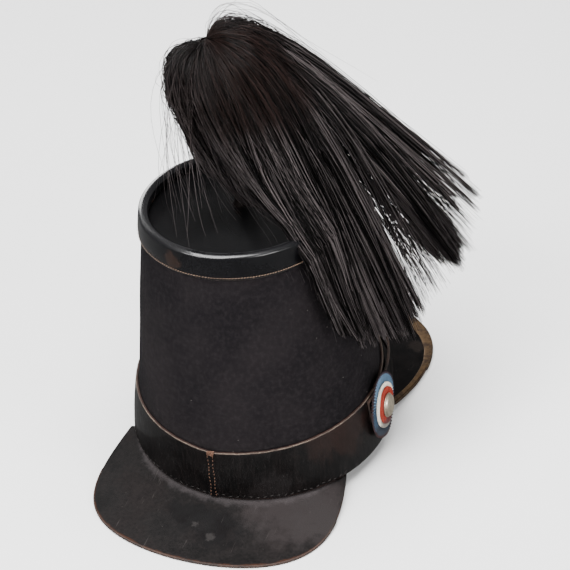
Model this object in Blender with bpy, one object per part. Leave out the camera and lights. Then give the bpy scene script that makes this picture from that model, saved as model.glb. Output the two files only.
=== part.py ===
"""Shako hat with a horsehair plume, as an assembly of separate pieces.

Metres, +Z up. The front of the hat faces -Y and the wearer's right is -X.
The origin is the centre of the head opening, on the plane that the peaks rest on.
Angles round the hat start at the back (+Y) and turn towards the wearer's right (-X).
"""
import math

import bmesh
import bpy
from mathutils import Matrix, Vector

GAP = 0.0003                 # clearance between pieces that touch
SIDES = 64                   # segments round the hat

# Cloth body, outer sizes
BASE_WIDTH = 0.1748
BASE_LENGTH = 0.1900
TOP_WIDTH = 0.1200
TOP_LENGTH = 0.1416
BODY_HEIGHT = 0.1980
TOP_SETBACK = 0.0352         # the top's centre lies this far behind the base's
TOP_SLOPE = 0.105            # rise of the top for each metre towards the back
BODY_WALL = 0.0022
BODY_MIDDLE = 0.6            # share of the height with one more row of corners

# Leather bands and top
BAND_HEIGHT = 0.0436
BAND_WALL = 0.0018
TOP_BAND_HEIGHT = 0.0155
TOP_BAND_WALL = 0.0018
TOP_BAND_LIP = 0.0050        # how far the rolled edge turns down inside
DISC_SINK = 0.0065           # depth of the top disc below the body's top edge
DISC_WALL = 0.0020
DISC_RING = 0.4              # share of the radius with a row of corners

# Peaks
PEAK_WALL = 0.0022
PEAK_DROP = 0.0100           # fall from the peak's seam to its edge
PEAK_CURVE = 1.8             # how quickly the fall eases out
PEAK_FLAT = 0.88             # share of the depth where the peak becomes level
REAR_DEPTH = 0.0540
REAR_REACH = 61.9            # degrees to each side of the back
REAR_CORNER = (4.8, 1.11)    # powers of the rounded outline
REAR_FLARE = 0.54
REAR_SHIFT = 0.0025          # how far the edge lies towards the wearer's left
FRONT_DEPTH = 0.0653
FRONT_REACH = 70.6
FRONT_CORNER = (6.5, 0.90)
FRONT_FLARE = 0.416
FRONT_SHIFT = 0.0004
PEAK_STEPS = 34              # segments along each peak's outline
PEAK_ROWS = (0, 0.2, 0.45, 0.7, PEAK_FLAT, 1)
RIM_REACH = 0.985            # share of the front peak's outline that the rim covers
RIM_WIDTH = 0.0085
RIM_WALL = 0.0006

# Chin strap, worn round the front over the lower band
STRAP_WIDTH = 0.0180
STRAP_WALL = 0.0020
STRAP_DROP = 0.0010          # its upper edge lies this far below the band's
STRAP_START = 80.0           # degrees round from the back, on the wearer's right
STRAP_END = 97.0             # and on the wearer's left
STRAP_BUTTON_TURN = 105.0    # degrees round to the button on the wearer's left
STRAP_STAND = 0.0040         # how far it stands off between the fastenings

# Cockade on the wearer's right, button on the left
COCKADE_HEIGHT = 0.0280      # above the body's lower edge
COCKADE_TEETH = 32
BLUE_RADIUS = 0.0237
BLUE_TOOTH = 0.0012
WHITE_RADIUS = 0.0160
RED_RADIUS = 0.0130
LAYER_WALL = 0.0012
BUTTON_RADIUS = 0.0088
BUTTON_RISE = 0.0050
BUTTON_BACK = 0.93           # radius of a button's flat back, as a share of its own
BUTTON_RIM = 0.25            # share of a button's rise that lies under its dome
SHANK_RADIUS = 0.0016
STRAP_BUTTON_RADIUS = 0.0085
STRAP_BUTTON_RISE = 0.0045
STRAP_BUTTON_STAND = 0.0010  # its back stands this far off the strap

# Plume
STEM_BACK = 0.0250           # the socket stands this far behind the base's centre
STEM_RADIUS = 0.0024
STEM_LENGTH = 0.1110
STEM_LEAN = 10.0             # degrees towards the wearer's left
SOCKET_RADIUS = 0.0065
SOCKET_HEIGHT = 0.0120
SOCKET_NECK = 0.72           # radius of the neck, as a share of the foot's
SOCKET_FOOT = 0.35           # share of the height where the neck starts
STEM_INSERT = 0.0090         # how far the stem goes into the plume's head
HEAD_RADIUS = 0.0130
HAIR_LENGTH = 0.2600
ROOT_RADIUS = 0.0080         # locks leave the head this far from its centre
ROOT_RISE = 25               # degrees by which they leave it higher up
LOCK_WIDTH = 0.0115          # radius of a lock at its fullest
LOCK_START = 0.12            # where on its swell a lock starts, and how much of it
LOCK_SPAN = 0.80             # there is to its end
LOCK_TAPER = 0.18
LOCK_CLEAR = 0.0060          # least distance from a lock to the hat
LOCK_STEPS = 30
LOCK_EASING = 14             # rounds of smoothing where a lock passes over the rim
LOCK_SIDES = 7
VOXEL = 0.0040
PLUME_KEEP = 0.17            # share of the remeshed faces that stay

# The body's sections from its base to its top, as shares of the way from the
# base's size, place and slope to the top's
SECTIONS = (
    # height, width, length, setback
    (0.00, 0.00, 0.000, 0.00),
    (0.22, 0.22, -0.045, 0.11),
    (1.00, 1.00, 1.000, 1.00),
)

# Locks of the plume. An angle of 0 is the wearer's right and 90 the front.
# leave and rise are the direction in which a lock leaves the head, arch is how
# far that pulls it, and to, reach and drop are where its tip ends, seen from
# the head. ease is how soon it turns towards its tip. Arch, reach and drop are
# shares of the hair's length.
LOCKS = (
    # leave, rise, arch, to, reach, drop, ease, fullness
    (-168, -15, 0.06, -60, 0.04, 0.27, 0.35, 1.0),
    (-138, -8, 0.11, -60, 0.06, 0.29, 0.30, 1.0),
    (-114, 3, 0.15, -35, 0.16, 0.36, 0.38, 1.0),
    (-100, 8, 0.12, -17, 0.36, 0.64, 0.40, 1.0),
    (-84, 6, 0.13, -12, 0.38, 0.70, 0.41, 1.0),
    (-62, 9, 0.15, -8, 0.40, 0.73, 0.43, 1.0),
    (-40, 18, 0.16, -3, 0.43, 0.76, 0.45, 1.0),
    (-18, 26, 0.16, 1, 0.45, 0.77, 0.45, 1.0),
    (3, 32, 0.15, 6, 0.48, 0.78, 0.45, 1.0),
    (22, 36, 0.15, 14, 0.52, 0.76, 0.45, 1.0),
    (40, 40, 0.14, 21, 0.59, 0.67, 0.44, 1.0),
    (54, 44, 0.13, 25, 0.63, 0.66, 0.45, 1.0),
    (67, 48, 0.12, 29, 0.65, 0.64, 0.50, 0.9),
    (82, 45, 0.12, 34, 0.67, 0.58, 0.60, 0.8),
    (102, 32, 0.13, 36, 0.71, 0.57, 0.65, 0.7),
    (-60, 5, 0.07, -4, 0.40, 0.65, 0.45, 1.3),
    (-10, 15, 0.07, 6, 0.45, 0.67, 0.45, 1.3),
    (30, 20, 0.07, 17, 0.53, 0.63, 0.43, 1.3),
    (70, 25, 0.07, 28, 0.59, 0.57, 0.45, 1.2),
)

FLOOR_TO_BODY = PEAK_DROP + PEAK_WALL + GAP
BAND_SHARE = BAND_HEIGHT / BODY_HEIGHT
BAND_OUT = GAP + BAND_WALL
STRAP_OUT = BAND_OUT + GAP + STRAP_WALL


def share_at(height):
    """A height above the body's lower edge, as a share of the body's height."""
    return height / BODY_HEIGHT


def section(share):
    """Half width, half length and setback of the body's outer surface."""
    rows = SECTIONS
    index = 1 if share < rows[1][0] else 2
    low, high = rows[index - 1], rows[index]
    part = (share - low[0]) / (high[0] - low[0])
    width, length, setback = (low[i] + (high[i] - low[i]) * part for i in (1, 2, 3))
    return (
        (BASE_WIDTH + (TOP_WIDTH - BASE_WIDTH) * width) / 2,
        (BASE_LENGTH + (TOP_LENGTH - BASE_LENGTH) * length) / 2,
        TOP_SETBACK * setback,
    )


def wall(angle, share, out=0.0, lift=0.0):
    """A point at a share of the body's height, moved outwards and up."""
    half_width, half_length, setback = section(share)
    slope = TOP_SLOPE * share * TOP_LENGTH / 2 * math.cos(angle)
    return Vector((
        -(half_width + out) * math.sin(angle),
        setback + (half_length + out) * math.cos(angle),
        FLOOR_TO_BODY + BODY_HEIGHT * share + slope + lift,
    ))


def clear_scene():
    for item in list(bpy.data.objects):
        bpy.data.objects.remove(item, do_unlink=True)


def material(name, color, roughness, metallic=0.0):
    made = bpy.data.materials.new(name)
    made.use_nodes = True
    shader = made.node_tree.nodes["Principled BSDF"]
    shader.inputs["Base Color"].default_value = (*color, 1.0)
    shader.inputs["Roughness"].default_value = roughness
    shader.inputs["Metallic"].default_value = metallic
    return made


def add_object(name, mesh_data, finish, smooth_angle=40.0):
    """A closed mesh as an object with outward faces."""
    mesh = bpy.data.meshes.new(name)
    bmesh.ops.recalc_face_normals(mesh_data, faces=mesh_data.faces)
    mesh_data.to_mesh(mesh)
    mesh_data.free()
    mesh.shade_smooth()
    mesh.set_sharp_from_angle(angle=math.radians(smooth_angle))
    mesh.materials.append(finish)
    made = bpy.data.objects.new(name, mesh)
    bpy.context.collection.objects.link(made)
    return made


def skin(mesh_data, loops, closed=False):
    """Quads between loops of vertices, each loop closed on itself."""
    pairs = list(zip(loops, loops[1:]))
    if closed:
        pairs.append((loops[-1], loops[0]))
    for first, second in pairs:
        count = len(first)
        for i in range(count):
            j = (i + 1) % count
            mesh_data.faces.new((first[i], first[j], second[j], second[i]))


def swept(name, finish, profiles, closed):
    """A solid through a row of closed profiles, capped unless it closes."""
    data = bmesh.new()
    loops = [[data.verts.new(point) for point in profile] for profile in profiles]
    skin(data, loops, closed)
    if not closed:
        data.faces.new(loops[0])
        data.faces.new(loops[-1])
    return add_object(name, data, finish)


def around():
    return [2 * math.pi * i / SIDES for i in range(SIDES)]


def hoop(name, finish, profile):
    """A ring round the hat with a profile of (share, out, lift) points."""
    profiles = [[wall(angle, *point) for point in profile] for angle in around()]
    return swept(name, finish, profiles, closed=True)


def turned(name, finish, profile, place, sides=32, tooth=0.0):
    """A profile of (radius, height) points turned round its own axis."""
    data = bmesh.new()
    loops = []
    for radius, height, toothed in ((*p, False) if len(p) == 2 else p for p in profile):
        if radius == 0:
            loops.append([data.verts.new(place @ Vector((0, 0, height)))])
            continue
        loop = []
        for i in range(sides):
            angle = 2 * math.pi * i / sides
            reach = radius - (tooth if toothed and i % 2 else 0.0)
            point = Vector((reach * math.cos(angle), reach * math.sin(angle), height))
            loop.append(data.verts.new(place @ point))
        loops.append(loop)
    closed = len(loops[0]) > 1 and len(loops[-1]) > 1
    pairs = list(zip(loops, loops[1:])) + ([(loops[-1], loops[0])] if closed else [])
    for first, second in pairs:
        for i in range(sides):
            j = (i + 1) % sides
            corners = [first[i % len(first)], first[j % len(first)],
                       second[j % len(second)], second[i % len(second)]]
            data.faces.new(list(dict.fromkeys(corners)))
    return add_object(name, data, finish)


def make_body(cloth):
    return hoop("body", cloth, (
        (0, 0, 0), (BAND_SHARE, 0, 0), (BODY_MIDDLE, 0, 0), (1, 0, 0),
        (1, -BODY_WALL, 0), (BODY_MIDDLE, -BODY_WALL, 0), (BAND_SHARE, -BODY_WALL, 0), (0, -BODY_WALL, 0),
    ))


def make_lower_band(leather):
    edge = BAND_WALL / 3
    top = share_at(BAND_HEIGHT - edge)
    return hoop("lower_band", leather, (
        (0, GAP, 0), (share_at(edge), BAND_OUT, 0), (top, BAND_OUT, 0),
        (BAND_SHARE, BAND_OUT - edge, 0), (BAND_SHARE, GAP, 0),
    ))


def make_top_band(leather):
    """A band whose upper edge rolls over the body's edge and turns down inside."""
    bottom = share_at(BODY_HEIGHT - TOP_BAND_HEIGHT)
    outer = GAP + TOP_BAND_WALL
    inner = -BODY_WALL - GAP
    turned_in = inner - TOP_BAND_WALL
    middle = (outer + turned_in) / 2
    crest = GAP + TOP_BAND_WALL
    roll = [
        (1, middle + (outer - middle) * math.cos(math.radians(a)), crest * math.sin(math.radians(a)))
        for a in (15, 45, 90, 135, 165)
    ]
    return hoop("top_band", leather, (
        (bottom, GAP, 0), (bottom, outer, 0), *roll,
        (1, turned_in, -TOP_BAND_LIP), (1, inner, -TOP_BAND_LIP),
        (1, inner, GAP / 2), (1, GAP, GAP / 2),
    ))


def disc_height(y):
    """Height of the top disc's upper face at a place behind the base's centre."""
    share = share_at(BODY_HEIGHT - DISC_SINK)
    _, half_length, setback = section(share)
    slope = TOP_SLOPE * share * TOP_LENGTH / 2 / half_length
    return FLOOR_TO_BODY + BODY_HEIGHT * share + slope * (y - setback)


def make_top_disc(leather):
    share = share_at(BODY_HEIGHT - DISC_SINK)
    half_width, half_length, setback = section(share)
    fit = BODY_WALL + GAP

    def point(angle, reach, drop):
        y = setback + (half_length - fit) * reach * math.cos(angle)
        return Vector((-(half_width - fit) * reach * math.sin(angle), y, disc_height(y) - drop))

    data = bmesh.new()
    rows = ((DISC_RING, 0), (1, 0), (1, DISC_WALL), (DISC_RING, DISC_WALL))
    loops = [[data.verts.new(point(a, reach, drop)) for a in around()] for reach, drop in rows]
    skin(data, loops)
    data.faces.new(loops[0])
    data.faces.new(loops[-1])
    return add_object("top_disc", data, leather)


class Peak:
    """One peak: where its sheet lies, for the leather and for its metal rim."""

    def __init__(self, side, depth, reach, corner, flare, shift, edge_height):
        self.side = side                 # +1 at the back, -1 at the front
        self.depth = depth
        self.reach = math.radians(reach)
        self.corner = corner
        self.flare = flare
        self.shift = shift
        self.edge_height = edge_height   # underside of the peak's edge above the floor

    def reach_at(self, angle):
        """Depth of the peak at an angle from its middle."""
        power, root = self.corner
        left = max(0.0, 1 - abs(angle / self.reach) ** power)
        return self.depth * left ** (1 / root)

    def point(self, angle, share, lift=0.0, out=0.0):
        """A point on the underside, from the seam at 0 to the edge at 1."""
        half_width, half_length, _ = section(0)
        seam = -BODY_WALL * (1 - share) + BAND_OUT * share
        depth = self.reach_at(angle) * share
        fall = max(0.0, 1 - depth / (self.depth * PEAK_FLAT)) ** PEAK_CURVE
        across = half_width + seam + self.flare * depth
        height = self.edge_height + (PEAK_DROP - self.edge_height) * fall
        place = Vector((
            self.shift * share - across * math.sin(angle),
            self.side * ((half_length + seam) * math.cos(angle) + depth),
            height + lift,
        ))
        return place + self.outward(angle) * out if out else place

    def outward(self, angle):
        """Level direction square to the outline."""
        step = 0.004
        low = max(-self.reach, angle - step)
        high = min(self.reach, angle + step)
        along = self.point(high, 1) - self.point(low, 1)
        away = Vector((along.y, -along.x, 0)).normalized()
        return away if away.y * self.side * math.cos(angle) > 0 else -away

    def angles(self, count, reach=1.0):
        """Angles that crowd towards the corners of the outline."""
        return [
            self.reach * reach * math.sin(math.pi / 2 * (2 * i / count - 1)) for i in range(count + 1)
        ]


def make_peak(name, leather, peak):
    profiles = []
    for angle in peak.angles(PEAK_STEPS):
        under = [peak.point(angle, share) for share in PEAK_ROWS]
        over = [peak.point(angle, share, PEAK_WALL) for share in reversed(PEAK_ROWS)]
        profiles.append(under + over)
    return swept(name, leather, profiles, closed=False)


def make_peak_rim(brass, peak):
    """A U-shaped metal rim over the front peak's edge."""
    profiles = []
    for angle in peak.angles(PEAK_STEPS, reach=RIM_REACH):
        depth = peak.reach_at(angle)
        seam = BODY_WALL + BAND_OUT
        spread = depth * (peak.flare * math.sin(angle) ** 2 + math.cos(angle))
        inner = max(1 - RIM_WIDTH / depth, (seam + 3 * GAP) / (seam + spread))
        top = PEAK_WALL + GAP
        over = top + RIM_WALL
        under = -GAP - RIM_WALL
        rows = (
            (inner, over, 0), (1, over, GAP), (1, top, GAP + RIM_WALL),
            (1, -GAP, GAP + RIM_WALL), (1, under, GAP), (inner, under, 0),
            (inner, -GAP, 0), (1, -GAP, GAP), (1, top, GAP), (inner, top, 0),
        )
        profiles.append([peak.point(angle, *row) for row in rows])
    return swept("peak_rim", brass, profiles, closed=False)


def strap_stand(angle):
    """How far the strap stands off the band: not at its fastenings, nor at the middle of the front."""
    button = 2 * math.pi - math.radians(STRAP_BUTTON_TURN)
    for start, end in ((math.pi / 2, math.pi), (math.pi, button)):
        if start < angle < end:
            return STRAP_STAND * math.sin(math.pi * (angle - start) / (end - start)) ** 2
    return 0.0


def strap_profile(angle):
    stand = strap_stand(angle)
    low = share_at(BAND_HEIGHT - STRAP_DROP - STRAP_WIDTH)
    high = share_at(BAND_HEIGHT - STRAP_DROP)
    inner = BAND_OUT + GAP + stand
    outer = inner + STRAP_WALL
    return [wall(angle, low, inner), wall(angle, low, outer), wall(angle, high, outer), wall(angle, high, inner)]


def make_chin_strap(leather):
    start = math.radians(STRAP_START)
    end = 2 * math.pi - math.radians(STRAP_END)
    step = 2 * math.pi / SIDES
    angles = [start] + [a for a in around() if start + step / 3 < a < end - step / 3]
    angles.append(end)
    return swept("chin_strap", leather, [strap_profile(a) for a in angles], closed=False)


def side_frame(angle):
    """A frame on the strap's outer face, with its own +Z pointing away from the hat."""
    share = share_at(COCKADE_HEIGHT)
    centre = wall(angle, share, STRAP_OUT)
    up = (wall(angle, BAND_SHARE, STRAP_OUT) - wall(angle, 0, STRAP_OUT)).normalized()
    along = (wall(angle + 0.01, share) - wall(angle - 0.01, share)).normalized()
    away = along.cross(up).normalized()
    if away.x * centre.x < 0:
        away = -away
    turn = Matrix((up.cross(away), up, away)).transposed()
    return Matrix.Translation(centre) @ turn.to_4x4()


def make_cockade(blue, white, red, pewter):
    place = side_frame(math.pi / 2)
    hole = SHANK_RADIUS + GAP
    bottom = GAP
    for name, finish, radius, toothed in (
        ("cockade_blue", blue, BLUE_RADIUS, True),
        ("cockade_white", white, WHITE_RADIUS, False),
        ("cockade_red", red, RED_RADIUS, False),
    ):
        top = bottom + LAYER_WALL
        profile = ((hole, bottom), (radius, bottom, toothed), (radius, top, toothed), (hole, top))
        sides = 2 * COCKADE_TEETH if toothed else 28
        turned(name, finish, profile, place, sides, BLUE_TOOTH)
        bottom = top + GAP
    make_button("cockade_button", pewter, place, bottom, BUTTON_RADIUS, BUTTON_RISE)


def make_button(name, metal, place, seat, radius, rise):
    """A domed button on a shank that reaches down to the strap."""
    dome = [
        (radius * math.cos(math.radians(a)),
         seat + rise * (BUTTON_RIM + (1 - BUTTON_RIM) * math.sin(math.radians(a))))
        for a in (0, 25, 50, 70)
    ]
    back = radius * BUTTON_BACK
    profile = [(0, GAP), (SHANK_RADIUS, GAP), (SHANK_RADIUS, seat), (back, seat), *dome, (0, seat + rise)]
    turned(name, metal, profile, place, sides=20)


def make_strap_button(brass):
    place = side_frame(-math.radians(STRAP_BUTTON_TURN))
    seat = GAP + STRAP_BUTTON_STAND
    make_button("strap_button", brass, place, seat, STRAP_BUTTON_RADIUS, STRAP_BUTTON_RISE)


def stem_frame():
    """The stem's axis, from the top disc up to the plume's head."""
    foot = Vector((0, STEM_BACK, disc_height(STEM_BACK) + GAP))
    lean = Matrix.Rotation(math.radians(STEM_LEAN), 4, "Y")
    return Matrix.Translation(foot) @ lean


def make_socket(brass):
    """A short tube whose foot is cut to the sloping disc."""
    place = stem_frame()
    hole = STEM_RADIUS + GAP
    neck = SOCKET_RADIUS * SOCKET_NECK
    made = turned("plume_socket", brass, (
        (hole, 0), (SOCKET_RADIUS, 0), (neck, SOCKET_HEIGHT * SOCKET_FOOT),
        (neck, SOCKET_HEIGHT), (hole, SOCKET_HEIGHT),
    ), place, sides=20)
    for vertex in made.data.vertices:
        local = place.inverted() @ vertex.co
        if local.z < GAP:
            vertex.co.z = disc_height(vertex.co.y) + GAP
    return made


def make_stem(metal):
    place = stem_frame()
    foot = STEM_RADIUS * math.tan(math.radians(STEM_LEAN)) + STEM_RADIUS * TOP_SLOPE + GAP
    return turned("plume_stem", metal, (
        (0, foot), (STEM_RADIUS, foot), (STEM_RADIUS, STEM_LENGTH), (0, STEM_LENGTH),
    ), place, sides=12)


def direction(angle, rise):
    angle, rise = math.radians(angle), math.radians(rise)
    return Vector((
        -math.cos(angle) * math.cos(rise),
        -math.sin(angle) * math.cos(rise),
        math.sin(rise),
    ))


def pushed_clear(point, distance):
    """The nearest place that is at least this far outside the hat's body and bands."""
    share = min(1.0, max(0.0, (point.z - FLOOR_TO_BODY) / BODY_HEIGHT))
    half_width, half_length, setback = section(share)
    band = BAND_OUT if share < BAND_SHARE else GAP + TOP_BAND_WALL
    away = Vector((point.x, point.y - setback, 0))
    reach = math.hypot(away.x / (half_width + band), away.y / (half_length + band))
    edge = away.length / reach
    out = away.length - edge
    crest = wall(0, 1, 0, GAP + TOP_BAND_WALL)
    ceiling = crest.z + TOP_SLOPE * (point.y - crest.y)
    up = point.z - ceiling
    if out <= 0 and up <= 0:
        if up > out:
            up = distance
        else:
            out = distance
    elif max(out, up) < distance:
        near = math.hypot(max(out, 0), max(up, 0))
        if near < distance:
            out *= distance / near if out > 0 else 1
            up *= distance / near if up > 0 else 1
    place = away.normalized() * (edge + out)
    return Vector((place.x, place.y + setback, ceiling + up))


def lock_route(head, leave, rise, arch, to, reach, drop, ease, fullness):
    """Points along a lock's middle, kept clear of the hat."""
    root = head + ROOT_RADIUS * direction(leave, rise + ROOT_RISE)
    tip = head + HAIR_LENGTH * (reach * direction(to, 0) - drop * Vector((0, 0, 1)))
    lifted = root + HAIR_LENGTH * arch * direction(leave, rise)
    easing = tip + (lifted - tip) * ease
    points = []
    for i in range(LOCK_STEPS + 1):
        t = i / LOCK_STEPS
        points.append((1 - t) ** 3 * root + 3 * (1 - t) ** 2 * t * lifted
                      + 3 * (1 - t) * t ** 2 * easing + t ** 3 * tip)
    room = [LOCK_CLEAR + lock_radius(i / LOCK_STEPS) * fullness for i in range(LOCK_STEPS + 1)]
    for _ in range(LOCK_EASING):
        points = [pushed_clear(*pair) for pair in zip(points, room)]
        points[1:-1] = [(a + 2 * b + c) / 4 for a, b, c in zip(points, points[1:], points[2:])]
    return [pushed_clear(*pair) for pair in zip(points, room)]


def lock_radius(t):
    """A lock's radius, from the head at 0 to its tip at 1."""
    swell = 0.5 + 0.5 * math.sin(math.pi * (LOCK_START + LOCK_SPAN * t))
    return LOCK_WIDTH * (swell - LOCK_TAPER * t)


def add_lock(data, points, fullness):
    loops = []
    for i, point in enumerate(points):
        along = (points[min(i + 1, len(points) - 1)] - points[max(i - 1, 0)]).normalized()
        side = along.cross(Vector((0, 0, 1)))
        side = side.normalized() if side.length > 1e-4 else Vector((1, 0, 0))
        up = side.cross(along)
        radius = lock_radius(i / (len(points) - 1)) * fullness
        loops.append([
            data.verts.new(point + radius * (side * math.cos(a) + up * math.sin(a)))
            for a in (2 * math.pi * k / LOCK_SIDES for k in range(LOCK_SIDES))
        ])
    skin(data, loops)
    data.faces.new(loops[0])
    data.faces.new(loops[-1])


def outer_shell(plume):
    """The fused locks as one closed skin, with the hollows between them filled."""
    depsgraph = bpy.context.evaluated_depsgraph_get()
    data = bmesh.new()
    data.from_mesh(bpy.data.meshes.new_from_object(plume.evaluated_get(depsgraph)))
    left = set(data.verts)
    shells = []
    while left:
        shell = set()
        edge = [next(iter(left))]
        while edge:
            vertex = edge.pop()
            if vertex in left:
                left.discard(vertex)
                shell.add(vertex)
                edge += [link.other_vert(vertex) for link in vertex.link_edges]
        shells.append(shell)
    outer = max(shells, key=len)
    bmesh.ops.delete(data, geom=[v for v in data.verts if v not in outer], context="VERTS")
    plume.modifiers.clear()
    data.to_mesh(plume.data)
    data.free()


def make_plume(hair):
    """Locks fused to a round head, with a socket in it for the stem."""
    place = stem_frame()
    head = place @ Vector((0, 0, STEM_LENGTH + GAP + HEAD_RADIUS - STEM_INSERT))
    data = bmesh.new()
    bmesh.ops.create_icosphere(
        data, subdivisions=3, radius=HEAD_RADIUS, matrix=Matrix.Translation(head))
    for row in LOCKS:
        add_lock(data, lock_route(head, *row), row[-1])
    plume = add_object("plume", data, hair, smooth_angle=60)
    fuse = plume.modifiers.new("fuse", "REMESH")
    fuse.mode = "VOXEL"
    fuse.voxel_size = VOXEL
    outer_shell(plume)
    thin = plume.modifiers.new("thin", "DECIMATE")
    thin.ratio = PLUME_KEEP
    cutter = turned("stem_hole", hair, (
        (0, 0), (STEM_RADIUS + GAP, 0), (STEM_RADIUS + GAP, STEM_LENGTH + GAP), (0, STEM_LENGTH + GAP),
    ), place, sides=12)
    cutter.hide_render = True
    cutter.display_type = "WIRE"
    bore = plume.modifiers.new("bore", "BOOLEAN")
    bore.operation = "DIFFERENCE"
    bore.object = cutter
    return plume


def main():
    clear_scene()
    cloth = material("black_wool_cloth", (0.030, 0.029, 0.032), 0.9)
    gloss = material("black_patent_leather", (0.012, 0.012, 0.014), 0.22)
    dull = material("worn_black_leather", (0.055, 0.050, 0.048), 0.55)
    brass = material("aged_brass", (0.33, 0.25, 0.14), 0.45, 0.9)
    pewter = material("pewter", (0.55, 0.53, 0.48), 0.4, 0.9)
    blue = material("blue_ribbon", (0.20, 0.33, 0.50), 0.8)
    white = material("white_ribbon", (0.80, 0.76, 0.68), 0.8)
    red = material("red_ribbon", (0.60, 0.14, 0.10), 0.8)
    hair = material("black_horsehair", (0.020, 0.018, 0.017), 0.5)

    rear = Peak(1, REAR_DEPTH, REAR_REACH, REAR_CORNER, REAR_FLARE, REAR_SHIFT, 0.0)
    front = Peak(-1, FRONT_DEPTH, FRONT_REACH, FRONT_CORNER, FRONT_FLARE, FRONT_SHIFT, GAP + RIM_WALL)

    make_body(cloth)
    make_lower_band(gloss)
    make_top_band(gloss)
    make_top_disc(gloss)
    make_peak("rear_peak", dull, rear)
    make_peak("front_peak", gloss, front)
    make_peak_rim(brass, front)
    make_chin_strap(gloss)
    make_cockade(blue, white, red, pewter)
    make_strap_button(brass)
    make_socket(brass)
    make_stem(brass)
    make_plume(hair)


main()
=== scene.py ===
"""Looks of the shako hat: finishes, stitches, ribbon and horsehair.

Metres, +Z up. The front of the hat faces -Y and the wearer's right is -X.
Angles round the hat start at the back (+Y) and turn towards the wearer's right.
"""
import math

import bmesh
import bpy
import numpy as np
from mathutils import Matrix, Quaternion, Vector


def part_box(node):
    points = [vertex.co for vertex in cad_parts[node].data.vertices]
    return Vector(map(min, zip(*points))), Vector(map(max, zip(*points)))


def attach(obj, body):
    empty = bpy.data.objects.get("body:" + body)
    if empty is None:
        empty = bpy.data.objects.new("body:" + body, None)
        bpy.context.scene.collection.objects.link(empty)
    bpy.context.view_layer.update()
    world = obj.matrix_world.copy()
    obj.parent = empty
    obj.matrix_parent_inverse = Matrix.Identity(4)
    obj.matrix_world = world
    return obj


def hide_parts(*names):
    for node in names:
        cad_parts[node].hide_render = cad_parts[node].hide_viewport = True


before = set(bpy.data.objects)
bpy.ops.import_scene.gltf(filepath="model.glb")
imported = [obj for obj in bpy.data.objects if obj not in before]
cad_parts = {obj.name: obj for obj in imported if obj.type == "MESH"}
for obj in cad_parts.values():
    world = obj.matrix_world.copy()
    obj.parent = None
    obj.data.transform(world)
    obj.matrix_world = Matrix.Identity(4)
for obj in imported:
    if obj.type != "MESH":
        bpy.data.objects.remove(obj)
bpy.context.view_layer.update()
TAU = 2 * math.pi

# The hat's driving sizes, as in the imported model
GAP = 0.0003
BASE_HALF = (0.0874, 0.0950)         # across, along
TOP_HALF = (0.0600, 0.0708)
BODY_HEIGHT = 0.1980
TOP_SETBACK = 0.0352
TOP_SLOPE = 0.105
BODY_WALL = 0.0022
BODY_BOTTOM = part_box("body")[0].z
BAND_HEIGHT = 0.0436
BAND_WALL = 0.0018
TOP_BAND_HEIGHT = 0.0155
TOP_BAND_WALL = 0.0018
TOP_BAND_LIP = 0.0050
DISC_SINK = 0.0065
DISC_WALL = 0.0020
PEAK_WALL = 0.0022
PEAK_DROP = 0.0100
PEAK_CURVE = 1.8
PEAK_FLAT = 0.88
RIM_WIDTH = 0.0085
RIM_WALL = 0.0006
STRAP_WIDTH = 0.0180
STRAP_WALL = 0.0020
STRAP_DROP = 0.0010
STRAP_START = 80.0
STRAP_END = 97.0
STRAP_BUTTON_TURN = 105.0
STRAP_STAND = 0.0040
COCKADE_HEIGHT = 0.0280
LAYER_WALL = 0.0012
STEM_BACK = 0.0250
STEM_RADIUS = 0.0024
STEM_LENGTH = 0.1110
STEM_LEAN = 10.0
HEAD_RADIUS = 0.0130
STEM_INSERT = 0.0090
HAIR_LENGTH = 0.2600
BAND_SHARE = BAND_HEIGHT / BODY_HEIGHT
BAND_OUT = GAP + BAND_WALL
STRAP_OUT = BAND_OUT + GAP + STRAP_WALL

# Details that only show close up
SEAM_ANGLE = 0.004                   # the band's seam, near the back's middle
SEAM_DIP = 0.0034                    # how far the band's upper edge dips at its seam
SEAM_SPREAD = 0.30                   # radians over which that dip fades
SEAM_TOP = BAND_SHARE - 0.018        # share of the height where the overlap ends in a knot
KNOT_LOOPS = 5
KNOT_POINTS = 14
KNOT_THREAD = 0.0003
SHARP_ANGLE = math.radians(45)

# The cockade and the buttons. The cockade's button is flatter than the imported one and
# the blue ribbon's edge is pinked more finely.
BLUE_RADIUS = 0.0235
BLUE_TOOTH = 0.0016
WHITE_RADIUS = 0.0160
RED_RADIUS = 0.0130
COCKADE_PLEATS = 60
BUTTON_RADIUS = 0.0085
BUTTON_RISE = 0.0036
STRAP_BUTTON_RADIUS = 0.0085
STRAP_BUTTON_RISE = 0.0045
STRAP_BUTTON_STAND = 0.0010
SHANK_RADIUS = 0.0016
SOCKET_RADIUS = 0.0065
SOCKET_HEIGHT = 0.0120

# Middles of the browner hair, seen from the plume's head
CROWN_BROWN = np.array((-0.043, 0.016, -0.007))
LOBE_BROWN = np.array((0.012, 0.030, -0.030))

# Where the camera stands, from the fit to the photo
CAMERA_TURN = 200.41                 # degrees round the hat
CAMERA_RISE = 36.51
CAMERA_ROLL = -1.55
CAMERA_REACH = 1.708
CAMERA_AIM = Vector((-0.0187, 0.0007, 0.1252))
CAMERA_LENS = 160.4

# Soft lights: name, place, size, watts
LIGHTS = (
    ("top_softbox", (0.0, 0.3, 2.2), (1.6, 1.6), 140),
    ("back_strip", (0.15, 1.10, 1.50), (1.1, 0.26), 26),
    ("left_softbox", (0.9, 1.7, 1.3), (0.9, 0.9), 25),
    ("right_softbox", (-1.7, 0.6, 0.9), (0.8, 0.9), 25),
    ("front_softbox", (1.3, -1.5, 0.45), (0.8, 0.8), 14),
)


# Shape of the hat

def joined(x, y, z):
    """Points from their three coordinates."""
    return np.stack(np.broadcast_arrays(x, y, z), axis=-1)


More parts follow.
